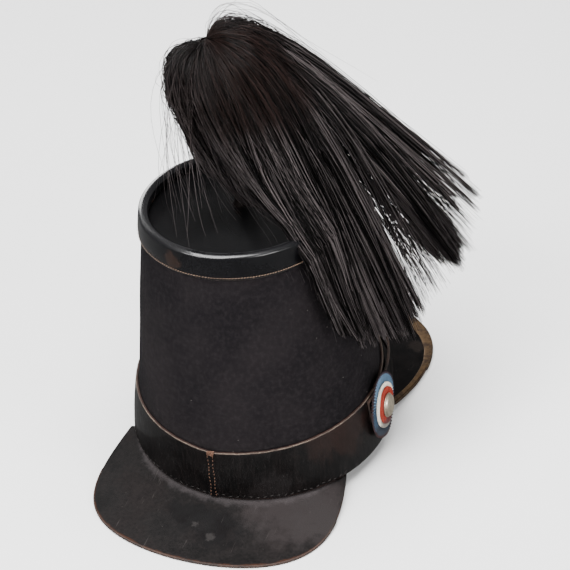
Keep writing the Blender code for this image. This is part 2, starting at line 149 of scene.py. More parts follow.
def section(share):
    """Half width, half length and setback of the body's outer surface, for arrays."""
    share = np.asarray(share, float)
    heights = (0.0, 0.22, 1.0)
    width = np.interp(share, heights, (0.0, 0.22, 1.0))
    length = np.interp(share, heights, (0.0, -0.045, 1.0))
    setback = np.interp(share, heights, (0.0, 0.11, 1.0))
    return (
        BASE_HALF[0] + (TOP_HALF[0] - BASE_HALF[0]) * width,
        BASE_HALF[1] + (TOP_HALF[1] - BASE_HALF[1]) * length,
        TOP_SETBACK * setback,
    )


def wall(angle, share, out=0.0, lift=0.0):
    """Points at shares of the body's height, moved outwards and up."""
    angle, share = np.asarray(angle, float), np.asarray(share, float)
    half_width, half_length, setback = section(share)
    slope = TOP_SLOPE * share * TOP_HALF[1] * np.cos(angle)
    return joined(
        -(half_width + out) * np.sin(angle),
        setback + (half_length + out) * np.cos(angle),
        BODY_BOTTOM + BODY_HEIGHT * share + slope + lift)


def unevenness(angle, height, amount):
    """Slow waves that keep a soft surface from being perfect."""
    waves = (np.sin(3 * angle + 21 * height + 0.6) + 0.6 * np.sin(7 * angle - 47 * height + 2.1)
             + 0.4 * np.sin(13 * angle + 90 * height + 4.0))
    return amount * waves / 2


def disc_height(y):
    share = 1 - DISC_SINK / BODY_HEIGHT
    _, half_length, setback = section(share)
    slope = TOP_SLOPE * share * TOP_HALF[1] / half_length
    return BODY_BOTTOM + BODY_HEIGHT * share + slope * (y - setback)


class Peak:
    """Where a peak's sheet lies, for its leather, its rim and its stitches."""

    def __init__(self, side, depth, reach, corner, flare, shift, edge_height):
        self.side, self.depth, self.reach = side, depth, math.radians(reach)
        self.corner, self.flare = corner, flare
        self.shift, self.edge_height = shift, edge_height

    def reach_at(self, angle):
        power, root = self.corner
        left = np.maximum(0.0, 1 - np.abs(angle / self.reach) ** power)
        return self.depth * left ** (1 / root)

    def points(self, angle, share, lift=0.0, out=0.0):
        """Points on the underside, from the seam at 0 to the edge at 1."""
        half_width, half_length, _ = section(0)
        seam = -BODY_WALL * (1 - share) + BAND_OUT * share
        depth = self.reach_at(angle) * share
        fall = np.maximum(0.0, 1 - depth / (self.depth * PEAK_FLAT)) ** PEAK_CURVE
        place = joined(
            self.shift * share - (half_width + seam + self.flare * depth) * np.sin(angle),
            self.side * ((half_length + seam) * np.cos(angle) + depth),
            self.edge_height + (PEAK_DROP - self.edge_height) * fall + lift)
        if np.any(np.asarray(out) != 0):
            place = place + self.outward(angle) * np.asarray(out)[..., None]
        return place

    def outward(self, angle):
        """Level direction square to the outline."""
        low = np.maximum(-self.reach, angle - 0.004)
        high = np.minimum(self.reach, angle + 0.004)
        along = self.points(high, np.ones_like(high)) - self.points(low, np.ones_like(low))
        away = joined(along[..., 1], -along[..., 0], 0.0)
        away /= np.linalg.norm(away, axis=-1, keepdims=True)
        flip = np.where(away[..., 1] * self.side * np.cos(angle) > 0, 1.0, -1.0)
        return away * flip[..., None]

    def angles(self, count, reach=1.0):
        return self.reach * reach * np.sin(np.pi / 2 * (2 * np.arange(count + 1) / count - 1))


REAR = Peak(1, 0.0540, 61.9, (4.8, 1.11), 0.54, 0.0025, 0.0)
FRONT = Peak(-1, 0.0653, 70.6, (6.5, 0.90), 0.416, 0.0004, GAP + RIM_WALL)


# Making meshes

def placed(name, data):
    """A new object in the scene."""
    made = bpy.data.objects.new(name, data)
    bpy.context.scene.collection.objects.link(made)
    return made


def piece(name, mesh, node=None):
    """An object that rides on the hat and may replace a node."""
    made = placed(name, mesh)
    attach(made, "root")
    if node:
        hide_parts(node)
    return made


def finish_mesh(name, mesh, materials, node=None):
    """A piece with its materials, smooth between its sharp edges."""
    for item in materials:
        mesh.materials.append(item)
    mesh.shade_smooth()
    mesh.set_sharp_from_angle(angle=SHARP_ANGLE)
    return piece(name, mesh, node)


def mend(mesh, weld=0.0, fill=False):
    """Turns faces outwards, after welding close points or filling holes where asked."""
    data = bmesh.new()
    data.from_mesh(mesh)
    if weld:
        bmesh.ops.remove_doubles(data, verts=data.verts, dist=weld)
    if fill:
        bmesh.ops.holes_fill(data, edges=data.edges)
    bmesh.ops.recalc_face_normals(data, faces=data.faces)
    data.to_mesh(mesh)
    data.free()


def grid_mesh(name, points, u, v, closed_u=False, closed_v=False, bands=None, caps=False):
    """Quads over a grid of points[u][v], with a UV map and a material index for each v band."""
    count_u, count_v = points.shape[:2]
    rows_u = count_u if closed_u else count_u - 1
    rows_v = count_v if closed_v else count_v - 1
    i, j = np.meshgrid(np.arange(rows_u), np.arange(rows_v), indexing="ij")
    i, j = i.ravel(), j.ravel()
    near, far = (i + 1) % count_u, (j + 1) % count_v
    faces = np.stack((i * count_v + j, near * count_v + j, near * count_v + far, i * count_v + far), axis=1)
    corners_u = np.stack((u[i], u[i + 1], u[i + 1], u[i]), 1)
    corners_v = np.stack((v[j], v[j], v[j + 1], v[j + 1]), 1)
    uv = np.stack((corners_u, corners_v), 2)
    index = np.zeros(len(faces), int) if bands is None else np.asarray(bands)[j]
    loops = [list(f) for f in faces]
    uvs = uv.reshape(-1, 2)
    if caps:
        last = (count_u - 1) * count_v
        loops += [list(range(count_v)), list(range(last, last + count_v))]
        ring = np.stack((np.full(count_v, u[0]), v[:count_v]), 1)
        uvs = np.concatenate((uvs, ring, ring + [u[-1] - u[0], 0]))
        index = np.concatenate((index, [index[0], index[0]]))
    mesh = bpy.data.meshes.new(name)
    mesh.from_pydata(points.reshape(-1, 3).tolist(), [], loops)
    layer = mesh.uv_layers.new(name="UVMap")
    layer.data.foreach_set("uv", uvs.astype(np.float32).ravel())
    mesh.polygons.foreach_set("material_index", index.astype(np.int32))
    mend(mesh)
    return mesh


def sheet(name, points, u, v, materials, slot, node=None, weld=0.0, fill=False, **shape):
    """A grid of points as a finished piece."""
    mesh = grid_mesh(name, points, u, v, **shape)
    if weld or fill:
        mend(mesh, weld, fill)
    return finish_mesh(name, mesh, materials, node)


def steps_to_one(count):
    return np.arange(count + 1) / count


def around(count):
    return np.arange(count) * TAU / count


def hoop(name, profile, materials, slot, node, count=288, bands=None, shift=None):
    """A ring round the hat with a profile of (share, out, lift) rows and v marks."""
    profile = np.asarray(profile, float)
    angle = around(count)[:, None]
    share, out, lift = (profile[:, k][None, :] for k in range(3))
    if shift is not None:
        share, out, lift = shift(angle, share, out, lift)
    points = wall(angle, share, out, lift)
    v = np.append(profile[:, 3], profile[0, 3])
    return sheet(name, points, steps_to_one(count), v, materials, slot, node,
                 closed_u=True, closed_v=True, bands=bands)


def turned(name, profile, place, materials, slot, node=None, count=72, ripple=None):
    """A profile of (radius, height) rows turned round its own axis, closed at both poles."""
    profile = np.asarray(profile, float)
    angle = around(count)[:, None]
    radius, height = profile[:, 0][None, :], profile[:, 1][None, :]
    if ripple is not None:
        radius, height = ripple(angle, radius, height)
    flat = joined(radius * np.cos(angle), radius * np.sin(angle), height)
    matrix = np.array(place)
    points = flat @ matrix[:3, :3].T + matrix[:3, 3]
    v = np.linspace(0, 1, len(profile))
    return sheet(name, points, steps_to_one(count), v, materials, slot, node,
                 weld=1e-6, closed_u=True)


# Shader groups

class Nodes:
    """Short calls for a node tree."""

    def __init__(self, tree):
        self.tree = tree

    def add(self, kind, values=None, **settings):
        node = self.tree.nodes.new(kind)
        for key, value in settings.items():
            setattr(node, key, value)
        for key, value in (values or {}).items():
            if isinstance(value, bpy.types.NodeSocket):
                self.tree.links.new(value, node.inputs[key])
            else:
                node.inputs[key].default_value = value
        return node

    def first(self, kind, values=None, **settings):
        """The first output of a new node."""
        return self.add(kind, values, **settings).outputs[0]

    def parts(self, vector):
        return self.add("ShaderNodeSeparateXYZ", {"Vector": vector}).outputs

    def math(self, operation, a, b=0.0, clamp=False):
        return self.first("ShaderNodeMath", {0: a, 1: b}, operation=operation, use_clamp=clamp)

    def times(self, a, b):
        return self.math("MULTIPLY", a, b)

    def plus(self, a, b, clamp=False):
        return self.math("ADD", a, b, clamp)

    def ramp(self, value, low, high, start=0.0, end=1.0):
        made = self.add("ShaderNodeMapRange", {
            "Value": value, "From Min": low, "From Max": high, "To Min": start, "To Max": end})
        made.interpolation_type = "SMOOTHSTEP"
        return made.outputs["Result"]

    def mix(self, factor, a, b):
        made = self.add("ShaderNodeMix", data_type="RGBA")
        for key, value in ((0, factor), (6, a), (7, b)):
            if isinstance(value, bpy.types.NodeSocket):
                self.tree.links.new(value, made.inputs[key])
            else:
                made.inputs[key].default_value = value if key == 0 else (*value, 1.0)
        return made.outputs[2]

    def over(self, color, mask, strength, tint):
        """A colour with a tint laid over it where the mask says."""
        return self.mix(self.times(mask, strength), color, tint)

    def noise(self, vector, scale, detail=4.0, roughness=0.55):
        return self.add("ShaderNodeTexNoise", {
            "Vector": vector, "Scale": scale, "Detail": detail, "Roughness": roughness}).outputs["Fac"]


def group(name, build, inputs, outputs):
    """A shader group whose outputs build makes from its place and its other inputs."""
    tree = bpy.data.node_groups.new(name, "ShaderNodeTree")
    for label, default in (("Vector", None), *inputs.items()):
        kind = "NodeSocketVector" if default is None else "NodeSocketFloat"
        socket = tree.interface.new_socket(label, in_out="INPUT", socket_type=kind)
        if default is not None:
            socket.default_value = default
    for label in outputs:
        tree.interface.new_socket(label, in_out="OUTPUT", socket_type="NodeSocketFloat")
    n = Nodes(tree)
    given, out = n.add("NodeGroupInput").outputs, n.add("NodeGroupOutput").inputs
    made = build(n, given["Vector"], given)
    for label, result in zip(outputs, made if isinstance(made, tuple) else (made,)):
        tree.links.new(result, out[label])
    return tree


def leather_grain(n, at, given):
    """Small cells with creases between, and slow shade changes."""
    cells = n.add("ShaderNodeTexVoronoi", {"Vector": at, "Scale": given["Cell Scale"]},
                  feature="DISTANCE_TO_EDGE").outputs["Distance"]
    height = n.plus(n.times(n.ramp(cells, 0.0, 0.35), 0.5), n.times(n.noise(at, 60.0), 0.8))
    slow = n.times(n.noise(at, given["Tone Scale"], 6.0, 0.65), 0.6)
    fine = n.times(n.noise(at, 420.0, 4.0, 0.7), 0.4)
    return height, n.ramp(n.plus(slow, fine), 0.36, 0.66)


def scuffs(n, at, given):
    """Fine scratches in three directions and dull rubbed patches."""
    strokes = []
    for turn, stretch in ((0.5, 26.0), (-0.9, 34.0), (2.2, 22.0)):
        turned_space = n.first("ShaderNodeMapping", {
            "Vector": at, "Rotation": (0.2, 0.3, turn), "Scale": (stretch * 30, stretch, stretch * 6)})
        strokes.append(n.ramp(n.noise(turned_space, 1.0, 2.0), 0.70, 0.78))
    drawn = n.math("MAXIMUM", n.math("MAXIMUM", strokes[0], strokes[1]), strokes[2])
    where = n.ramp(n.noise(at, given["Patch Scale"], 5.0, 0.6), 0.45, 0.62)
    return n.times(n.times(drawn, where), given["Amount"]), n.times(where, given["Amount"])


def lint(n, at, given):
    """Sparse pale specks, such as lint and dust."""
    spots = n.add("ShaderNodeTexVoronoi", {"Vector": at, "Scale": given["Scale"], "Randomness": 1.0})
    tiny = n.math("LESS_THAN", spots.outputs["Distance"], given["Size"])
    chosen = n.first("ShaderNodeSeparateColor", {"Color": spots.outputs["Color"]})
    return n.times(tiny, n.math("LESS_THAN", chosen, given["Share"]))


def mark(n, at, given):
    """A soft-edged, uneven patch round a place."""
    distance = n.add("ShaderNodeVectorMath", {0: at, 1: given["Place"]}, operation="DISTANCE").outputs[1]
    share = n.math("DIVIDE", distance, given["Radius"])
    scale = n.math("DIVIDE", 1.3, given["Radius"])
    rough = n.times(n.math("SUBTRACT", n.noise(at, scale, 6.0, 0.65), 0.5), 2.6)
    return n.ramp(n.plus(share, rough), 0.65, 1.35, 1.0, 0.0)


def streaks(n, at, given):
    """Fine upright brush marks, as rubbed polish leaves on a band."""
    across, up = given["Across"], given["Up"]
    scale = n.first("ShaderNodeCombineXYZ", {0: across, 1: across, 2: up})
    drawn = n.first("ShaderNodeVectorMath", {0: at, 1: scale}, operation="MULTIPLY")
    return n.ramp(n.noise(drawn, 1.0, 3.0, 0.6), 0.40, 0.72)


def twill(n, at, given):
    """Crossing threads from a UV map in metres, with fuzz over them."""
    axes = n.parts(at)
    turn = n.math("DIVIDE", TAU, given["Pitch"])
    warp = n.math("SINE", n.times(n.plus(axes[0], axes[1]), turn))
    weft = n.math("SINE", n.times(axes[1], n.times(turn, 1.9)))
    threads = n.plus(n.times(warp, 0.35), n.times(weft, 0.15))
    return n.plus(threads, n.noise(at, 1800.0, 3.0, 0.7)), n.noise(at, 260.0, 4.0, 0.7)


def edge_wear(n, at, given):
    """Wear that eats in from an edge, which is where Mark is 0."""
    near = n.math("SUBTRACT", 1.0, n.math("DIVIDE", given["Mark"], given["Width"], clamp=True))
    broken = n.noise(at, given["Scale"], 6.0, 0.7)
    return n.ramp(n.plus(near, n.math("SUBTRACT", broken, 0.5)), 0.75, 1.0)


GRAIN = group("leather_grain", leather_grain, {"Cell Scale": 900.0, "Tone Scale": 30.0}, ("Height", "Shade"))
SCUFFS = group("scuffs", scuffs, {"Amount": 0.5, "Patch Scale": 18.0}, ("Scratch", "Patch"))
LINT = group("lint", lint, {"Scale": 320.0, "Size": 0.12, "Share": 0.06}, ("Mask",))
TWILL = group("twill", twill, {"Pitch": 0.0008}, ("Height", "Fuzz"))
EDGE = group("edge_wear", edge_wear, {"Mark": 0.0, "Width": 0.08, "Scale": 90.0}, ("Mask",))
MARK = group("mark", mark, {"Place": None, "Radius": 0.01}, ("Mask",))
STREAK = group("streaks", streaks, {"Across": 520.0, "Up": 34.0}, ("Mask",))


class Finish:
    """A material under construction: its nodes, its shader and its coordinates."""

    def __init__(self, name, roughness=0.5, metallic=0.0, **sockets):
        self.material = bpy.data.materials.new(name)
        self.material.use_nodes = True
        tree = self.material.node_tree
        self.n = Nodes(tree)
        self.shader = tree.nodes["Principled BSDF"]
        self.shader.inputs["Roughness"].default_value = roughness
        self.shader.inputs["Metallic"].default_value = metallic
        for label, value in sockets.items():
            self.shader.inputs[label.replace("_", " ")].default_value = value
        coordinates = self.n.add("ShaderNodeTexCoord").outputs
        self.place, self.uv = coordinates["Object"], coordinates["UV"]

    def use(self, tree, **values):
        node = self.n.add("ShaderNodeGroup")
        node.node_tree = tree
        for label, value in values.items():
            socket = node.inputs[label.replace("_", " ")]
            if isinstance(value, bpy.types.NodeSocket):
                self.n.tree.links.new(value, socket)
            else:
                socket.default_value = value
        return node.outputs

    def link(self, value, label):
        self.n.tree.links.new(value, self.shader.inputs[label])

    def bump(self, height, strength, distance):
        made = self.n.add("ShaderNodeBump", {"Height": height, "Strength": strength, "Distance": distance})
        self.link(made.outputs["Normal"], "Normal")


def wool_cloth():
    f = Finish("wool_cloth", 0.92, Specular_IOR_Level=0.06)
    n = f.n
    weave = f.use(TWILL, Vector=f.uv)
    dust = f.use(LINT, Vector=f.place, Scale=260.0, Size=0.10, Share=0.035)["Mask"]
    slow = n.noise(f.place, 14.0, 5.0, 0.6)
    color = n.mix(n.ramp(slow, 0.35, 0.7), (0.0060, 0.0052, 0.0061), (0.0118, 0.0098, 0.0106))
    color = n.mix(n.times(n.ramp(weave["Fuzz"], 0.40, 0.75), 0.5), color, (0.0230, 0.0195, 0.0210))
    color = n.over(color, dust, 0.5, (0.22, 0.20, 0.18))
    f.link(color, "Base Color")
    f.bump(weave["Height"], 0.55, 0.0004)
    return f.material


def leather(name, dark, light, roughness, gloss, shine=0.3, wear=(0.10, 0.05, 0.03), amount=0.5,
            patch=18.0, scratch=0.25, streaked=0.0, seam=0.0, tone=30.0, marks=()):
    """Black leather with grain, scuffs, dull patches, brown worn edges and its own marks.

    marks are (place, radius, strength, color) rows.
    """
    f = Finish(name, roughness, Coat_Roughness=0.10, Coat_Weight=gloss, Specular_IOR_Level=shine)
    n = f.n
    cells = f.use(GRAIN, Vector=f.place, Tone_Scale=tone)
    rubs = f.use(SCUFFS, Vector=f.place, Amount=amount, Patch_Scale=patch)
    across = n.parts(f.uv)[1]
    near = n.math("MINIMUM", across, n.math("SUBTRACT", 1.0, across))
    worn = f.use(EDGE, Vector=f.place, Mark=near, Width=0.09, Scale=110.0)["Mask"]
    dust = f.use(LINT, Vector=f.place, Scale=420.0, Size=0.11, Share=0.03)["Mask"]
    color = n.mix(cells["Shade"], dark, light)
    if streaked:
        drawn = f.use(STREAK, Vector=f.place)["Mask"]
        color = n.over(color, drawn, streaked, [c * 2.4 for c in light])
    for place, radius, strength, mark_color in marks:
        mask = f.use(MARK, Vector=f.place, Place=place, Radius=radius)["Mask"]
        color = n.over(color, mask, strength, mark_color)
    color = n.over(color, worn, 0.75, wear)
    if seam:
        rubbed = n.ramp(n.plus(across, n.times(n.noise(f.place, 160.0, 5.0, 0.7), 0.20)), 0.93, 1.05)
        color = n.over(color, rubbed, seam, (0.045, 0.039, 0.040))
    color = n.over(color, rubs["Scratch"], scratch, (0.10, 0.09, 0.085))
    color = n.over(color, dust, 0.3, (0.12, 0.11, 0.10))
    f.link(color, "Base Color")
    dull = n.math("MAXIMUM", n.times(rubs["Patch"], 0.8), worn)
    rough = n.plus(roughness, n.times(dull, 0.35), clamp=True)
    rough = n.plus(rough, n.times(cells["Shade"], 0.10), clamp=True)
    f.link(rough, "Roughness")
    grain = n.plus(cells["Height"], n.times(drawn, streaked)) if streaked else cells["Height"]
    f.bump(grain, 0.25, 0.0003)
    return f.material


def raw_edge(name, pale, dark):
    """A cut leather edge: fibrous and uneven in colour."""
    f = Finish(name, 0.85)
    n = f.n
    fibre = n.noise(f.place, 900.0, 5.0, 0.7)
    patch = n.noise(f.place, 70.0, 4.0, 0.6)
    color = n.mix(n.ramp(fibre, 0.3, 0.7), dark, pale)
    color = n.mix(n.ramp(patch, 0.42, 0.62), color, dark)
    f.link(color, "Base Color")
    f.bump(fibre, 0.5, 0.0002)
    return f.material


def metal(name, bright, dark, roughness):
    """Aged metal with tarnish and fine dents."""
    f = Finish(name, roughness, 0.9)
    n = f.n
    tarnish = n.ramp(n.noise(f.place, 120.0, 6.0, 0.65), 0.35, 0.68)
    rubs = f.use(SCUFFS, Vector=f.place, Amount=0.7, Patch_Scale=60.0)
    color = n.mix(tarnish, bright, dark)
    color = n.mix(rubs["Scratch"], color, bright)
    f.link(color, "Base Color")
    f.link(n.plus(roughness, n.times(tarnish, 0.25), clamp=True), "Roughness")
    f.bump(n.noise(f.place, 260.0, 3.0), 0.12, 0.0004)
    return f.material


def ribbon(name, color, grime_and_fold_shade, soil=0.35, ribs_round=72, depth=0.25, rim=0.0):
    """Ribbed ribbon, soiled in patches and towards the bottom of the cockade, with painted shade in the
    folds between its ribs.
    """
    f = Finish(name, 0.85, Specular_IOR_Level=0.2)
    n = f.n
    u, v = n.parts(f.uv)[:2]
    ribs = n.math("SINE", n.times(u, TAU * ribs_round))
    grime = n.ramp(n.noise(f.place, 240.0, 5.0, 0.65), 0.45, 0.8)
    height = n.parts(f.place)[2]
    middle = BODY_BOTTOM + COCKADE_HEIGHT
    low = n.ramp(n.plus(height, n.times(n.noise(f.place, 420.0), 0.022)),
                 middle + 0.001, middle + 0.008, 1.0, 0.0)
    made = n.mix(n.times(grime, soil), color, grime_and_fold_shade)
    # Painted shade: the folds between the ribs are darkened towards the second colour, as far as depth says.
    made = n.mix(n.times(n.ramp(ribs, -1.0, 0.3, 1.0, 0.0), depth), made, grime_and_fold_shade)
    made = n.over(made, low, 0.8, (0.020, 0.020, 0.024))
    if rim:
        edge = n.ramp(n.plus(v, n.times(n.noise(f.place, 500.0), 0.12)), 0.68, 0.76)
        made = n.over(made, edge, rim, (0.030, 0.012, 0.010))
    f.link(made, "Base Color")
    f.bump(n.plus(n.times(ribs, 0.4), n.noise(f.place, 1500.0)), 0.35, 0.0003)
    return f.material


def thread(name, color):
    """Twisted sewing thread."""
    f = Finish(name, 0.8)
    n = f.n
    fibre = n.noise(f.place, 2200.0, 3.0, 0.7)
    f.link(n.mix(fibre, [c * 0.5 for c in color], color), "Base Color")
    f.bump(fibre, 0.4, 0.0001)
    return f.material


def horsehair():
    """Black hair: each strand has its own shade, browner near the crown, with painted shade darkening the
    hair round the head.
    """
    f = Finish("horsehair", 0.40, Specular_IOR_Level=0.12)
    n = f.n
    shade = n.add("ShaderNodeAttribute", attribute_name="shade").outputs["Fac"]
    color = n.mix(n.ramp(shade, 0.30, 0.90), (0.0012, 0.0010, 0.0010), (0.0950, 0.0800, 0.0800))
    # Painted shade: hair within this mark round the head is darkened to near black, as among the dense
    # roots.
    dark = f.use(MARK, Vector=f.place, Place=tuple(hair_head()), Radius=0.050)["Mask"]
    color = n.over(color, dark, 0.8, (0.0022, 0.0017, 0.0016))
    near = f.use(MARK, Vector=f.place, Place=tuple(hair_head() + CROWN_BROWN), Radius=0.042)["Mask"]
    low = f.use(MARK, Vector=f.place, Place=tuple(hair_head() + LOBE_BROWN), Radius=0.034)["Mask"]
    brown = n.times(n.math("MAXIMUM", near, n.times(low, 0.5)), n.ramp(shade, 0.2, 0.75))
    color = n.over(color, brown, 0.9, (0.0130, 0.0056, 0.0042))
    f.link(color, "Base Color")
    f.link(n.plus(0.26, n.times(shade, 0.26)), "Roughness")
    return f.material


def root_ball_shade():
    """Near-black and without sheen: the ball at the hair's roots, its finish painted shade where the strands
    part.
    """
    f = Finish("root_ball_shade", 0.95, Specular_IOR_Level=0.0)
    fibre = f.n.noise(f.place, 700.0)
    f.link(f.n.mix(fibre, (0.0008, 0.0006, 0.0006), (0.0024, 0.0015, 0.0013)), "Base Color")
    return f.material


# Geometry Nodes

def geometry_tree(name, inputs):
    tree = bpy.data.node_groups.new(name, "GeometryNodeTree")
    tree.interface.new_socket("Geometry", in_out="INPUT", socket_type="NodeSocketGeometry")
    for label, kind, default in inputs:
        socket = tree.interface.new_socket(label, in_out="INPUT", socket_type="NodeSocket" + kind)
        if default is not None:
            socket.default_value = default
    tree.interface.new_socket("Geometry", in_out="OUTPUT", socket_type="NodeSocketGeometry")
    nodes = Nodes(tree)
    return nodes, nodes.add("NodeGroupInput").outputs, nodes.add("NodeGroupOutput").inputs[0]


def close_tree(n, made, given, out):
    """Ends a tree with plain, smooth geometry that has its material."""
    real = n.first("GeometryNodeRealizeInstances", {"Geometry": made})
    smooth = n.first("GeometryNodeSetShadeSmooth", {"Geometry": real})
    last = n.first("GeometryNodeSetMaterial", {"Geometry": smooth, "Material": given["Material"]})
    n.tree.links.new(last, out)
    return n.tree


def make_strand_tree():
    """Thin tubes along loose edges, as thick as each point says."""
    n, given, out = geometry_tree("strands", (("Sides", "Int", 3), ("Material", "Material", None)))
    curves = n.first("GeometryNodeMeshToCurve", {"Mesh": given["Geometry"]})
    thickness = n.first("GeometryNodeInputNamedAttribute", {"Name": "thickness"}, data_type="FLOAT")
    sized = n.first("GeometryNodeSetCurveRadius", {"Curve": curves, "Radius": thickness})
    ring = n.first("GeometryNodeCurvePrimitiveCircle", {"Resolution": given["Sides"], "Radius": 1.0})
    tubes = n.first("GeometryNodeCurveToMesh", {
        "Curve": sized, "Profile Curve": ring, "Scale": thickness, "Fill Caps": True})
    return close_tree(n, tubes, given, out)


def make_stitch_tree():
    """Short round stitches at a pitch along a path, each laid at a slant to it."""
    n, given, out = geometry_tree("stitch_row", (
        ("Pitch", "Float", 0.003), ("Length", "Float", 0.002), ("Radius", "Float", 0.0003),
        ("Slant", "Float", 0.0), ("Jitter", "Float", 0.1), ("Seed", "Int", 1),
        ("Material", "Material", None)))
    curves = n.first("GeometryNodeMeshToCurve", {"Mesh": given["Geometry"]})
    points = n.add("GeometryNodeCurveToPoints", {"Curve": curves, "Length": given["Pitch"]}, mode="LENGTH")
    spread = n.add("FunctionNodeRandomValue", {"Seed": given["Seed"]}, data_type="FLOAT")
    minus = n.times(given["Jitter"], -1.0)
    n.tree.links.new(minus, spread.inputs[2])
    n.tree.links.new(given["Jitter"], spread.inputs[3])
    capsule = n.add("GeometryNodeMeshCylinder", {
        "Vertices": 6, "Side Segments": 3, "Radius": given["Radius"],
        "Depth": given["Length"]}).outputs["Mesh"]
    place = n.first("GeometryNodeInputPosition")
    height = n.parts(place)[2]
    half = n.math("DIVIDE", height, n.times(given["Length"], 0.5))
    taper = n.math("SUBTRACT", 1.0, n.times(n.math("POWER", n.math("ABSOLUTE", half), 4.0), 0.55))
    scaled = n.first("ShaderNodeCombineXYZ", {0: taper, 1: taper, 2: 1.0})
    shaped_place = n.first("ShaderNodeVectorMath", {0: place, 1: scaled}, operation="MULTIPLY")
    shaped = n.first("GeometryNodeSetPosition", {"Geometry": capsule, "Position": shaped_place})
    turn = n.first("FunctionNodeAlignRotationToVector", {
        "Rotation": points.outputs["Rotation"], "Vector": points.outputs["Tangent"]}, axis="Z")
    slant = n.first("ShaderNodeCombineXYZ", {0: n.plus(given["Slant"], spread.outputs[1])})
    tilt = n.first("FunctionNodeRotateRotation", {"Rotation": turn, "Rotate By": slant},
                   rotation_space="LOCAL")
    rows = n.first("GeometryNodeInstanceOnPoints", {
        "Points": points.outputs["Points"], "Instance": shaped, "Rotation": tilt})
    return close_tree(n, rows, given, out)


STRANDS, STITCHES = make_strand_tree(), make_stitch_tree()


def grown(name, tree, paths, slot, attributes=None, node=None, **inputs):
    """A plain mesh that a Geometry Nodes tree makes along paths of points."""
    counts = [len(p) for p in paths]
    points = np.concatenate(paths)
    starts = np.concatenate(([0], np.cumsum(counts)[:-1]))
    edges = np.concatenate([
        np.stack((np.arange(s, s + c - 1), np.arange(s + 1, s + c)), 1) for s, c in zip(starts, counts)])
    mesh = bpy.data.meshes.new(name + "_paths")
    mesh.vertices.add(len(points))
    mesh.vertices.foreach_set("co", points.astype(np.float32).ravel())
    mesh.edges.add(len(edges))
    mesh.edges.foreach_set("vertices", edges.astype(np.int32).ravel())
    for label, values in (attributes or {}).items():
        layer = mesh.attributes.new(label, "FLOAT", "POINT")
        layer.data.foreach_set("value", np.asarray(values, np.float32).ravel())
    guide = placed(name + "_guide", mesh)
    modifier = guide.modifiers.new("grow", "NODES")
    modifier.node_group = tree
    sockets = {s.name: s.identifier for s in tree.interface.items_tree if s.in_out == "INPUT"}
    for label, value in inputs.items():
        modifier[sockets[label]] = value
    depsgraph = bpy.context.evaluated_depsgraph_get()
    result = bpy.data.meshes.new_from_object(guide.evaluated_get(depsgraph))
    bpy.data.objects.remove(guide)
    result.name = name
    return piece(name, result, node)


# Pieces

def make_body(cloth, inside):
    """The cloth tube: outer face, top edge, plain inner face."""
    steps, inner_steps = 44, 8
    shares = np.linspace(0, 1, steps + 1)
    around_length = math.pi * (BASE_HALF[0] + BASE_HALF[1])
    rows = [(s, 0, 0, s * BODY_HEIGHT) for s in shares]
    rows += [(s, -BODY_WALL, 0, -0.01 - (1 - s) * BODY_HEIGHT) for s in np.linspace(1, 0, inner_steps)]

    def shift(angle, share, out, lift):
        shown = np.clip((share - BAND_SHARE - 0.01) * 20, 0, 1) * np.clip((0.90 - share) * 12, 0, 1)
        return share, out + shown * unevenness(angle, share * BODY_HEIGHT, 0.0005) * (out == 0), lift

    bands = [0] * (steps + 1) + [1] * inner_steps
    made = hoop("body_cloth", rows, (cloth, inside), "cloth", "body", bands=bands, shift=shift)
    layer = made.data.uv_layers[0].data
    uv = np.zeros(len(layer) * 2, np.float32)
    layer.foreach_get("uv", uv)
    uv[0::2] *= around_length
    layer.foreach_set("uv", uv)
    return made


def make_lower_band(face, edge, inside):
    """The head band: a raw pale upper edge that dips at the back seam."""
    radius = 0.0005
    rows = [(0, GAP, 0, 0.02), (0, BAND_OUT - 0.0004, 0, 0.0), (0.004, BAND_OUT, 0, 0.01)]
    rows += [(s, BAND_OUT, 0, 0.01 + 0.98 * s / BAND_SHARE)
             for s in np.linspace(0.012, BAND_SHARE - 0.008, 22)]
    rows += [(BAND_SHARE - 0.003, BAND_OUT - 0.0001, 0, 1.0), (BAND_SHARE, BAND_OUT - radius, 0, 1.0),
             (BAND_SHARE, GAP + 0.0002, 0, 1.0), (BAND_SHARE - 0.003, GAP, 0, 1.0)]
    rows += [(BAND_SHARE * 0.5, GAP, 0, 0.5)]
    bands = [0] * (len(rows) - 5) + [1, 0, 0, 2, 2]

    def shift(angle, share, out, lift):
        away = np.abs((angle - SEAM_ANGLE + math.pi) % TAU - math.pi)
        dip = SEAM_DIP / BODY_HEIGHT * np.exp(-away / SEAM_SPREAD) * share / BAND_SHARE
        ragged = 0.00018 * np.sin(angle * 57 + 1) * np.sin(angle * 23) / BODY_HEIGHT
        ragged = ragged * (share > BAND_SHARE * 0.97)
        bulge = np.sin(np.pi * np.clip(share / BAND_SHARE, 0, 1))
        swell = 0.0003 * (1 + np.sin(5 * angle + 1)) * (out > GAP) * bulge
        return share - dip + ragged, out + swell, lift

    return hoop("lower_band_leather", rows, (face, edge, inside), "patent_leather", "lower_band",
                count=360, bands=bands, shift=shift)


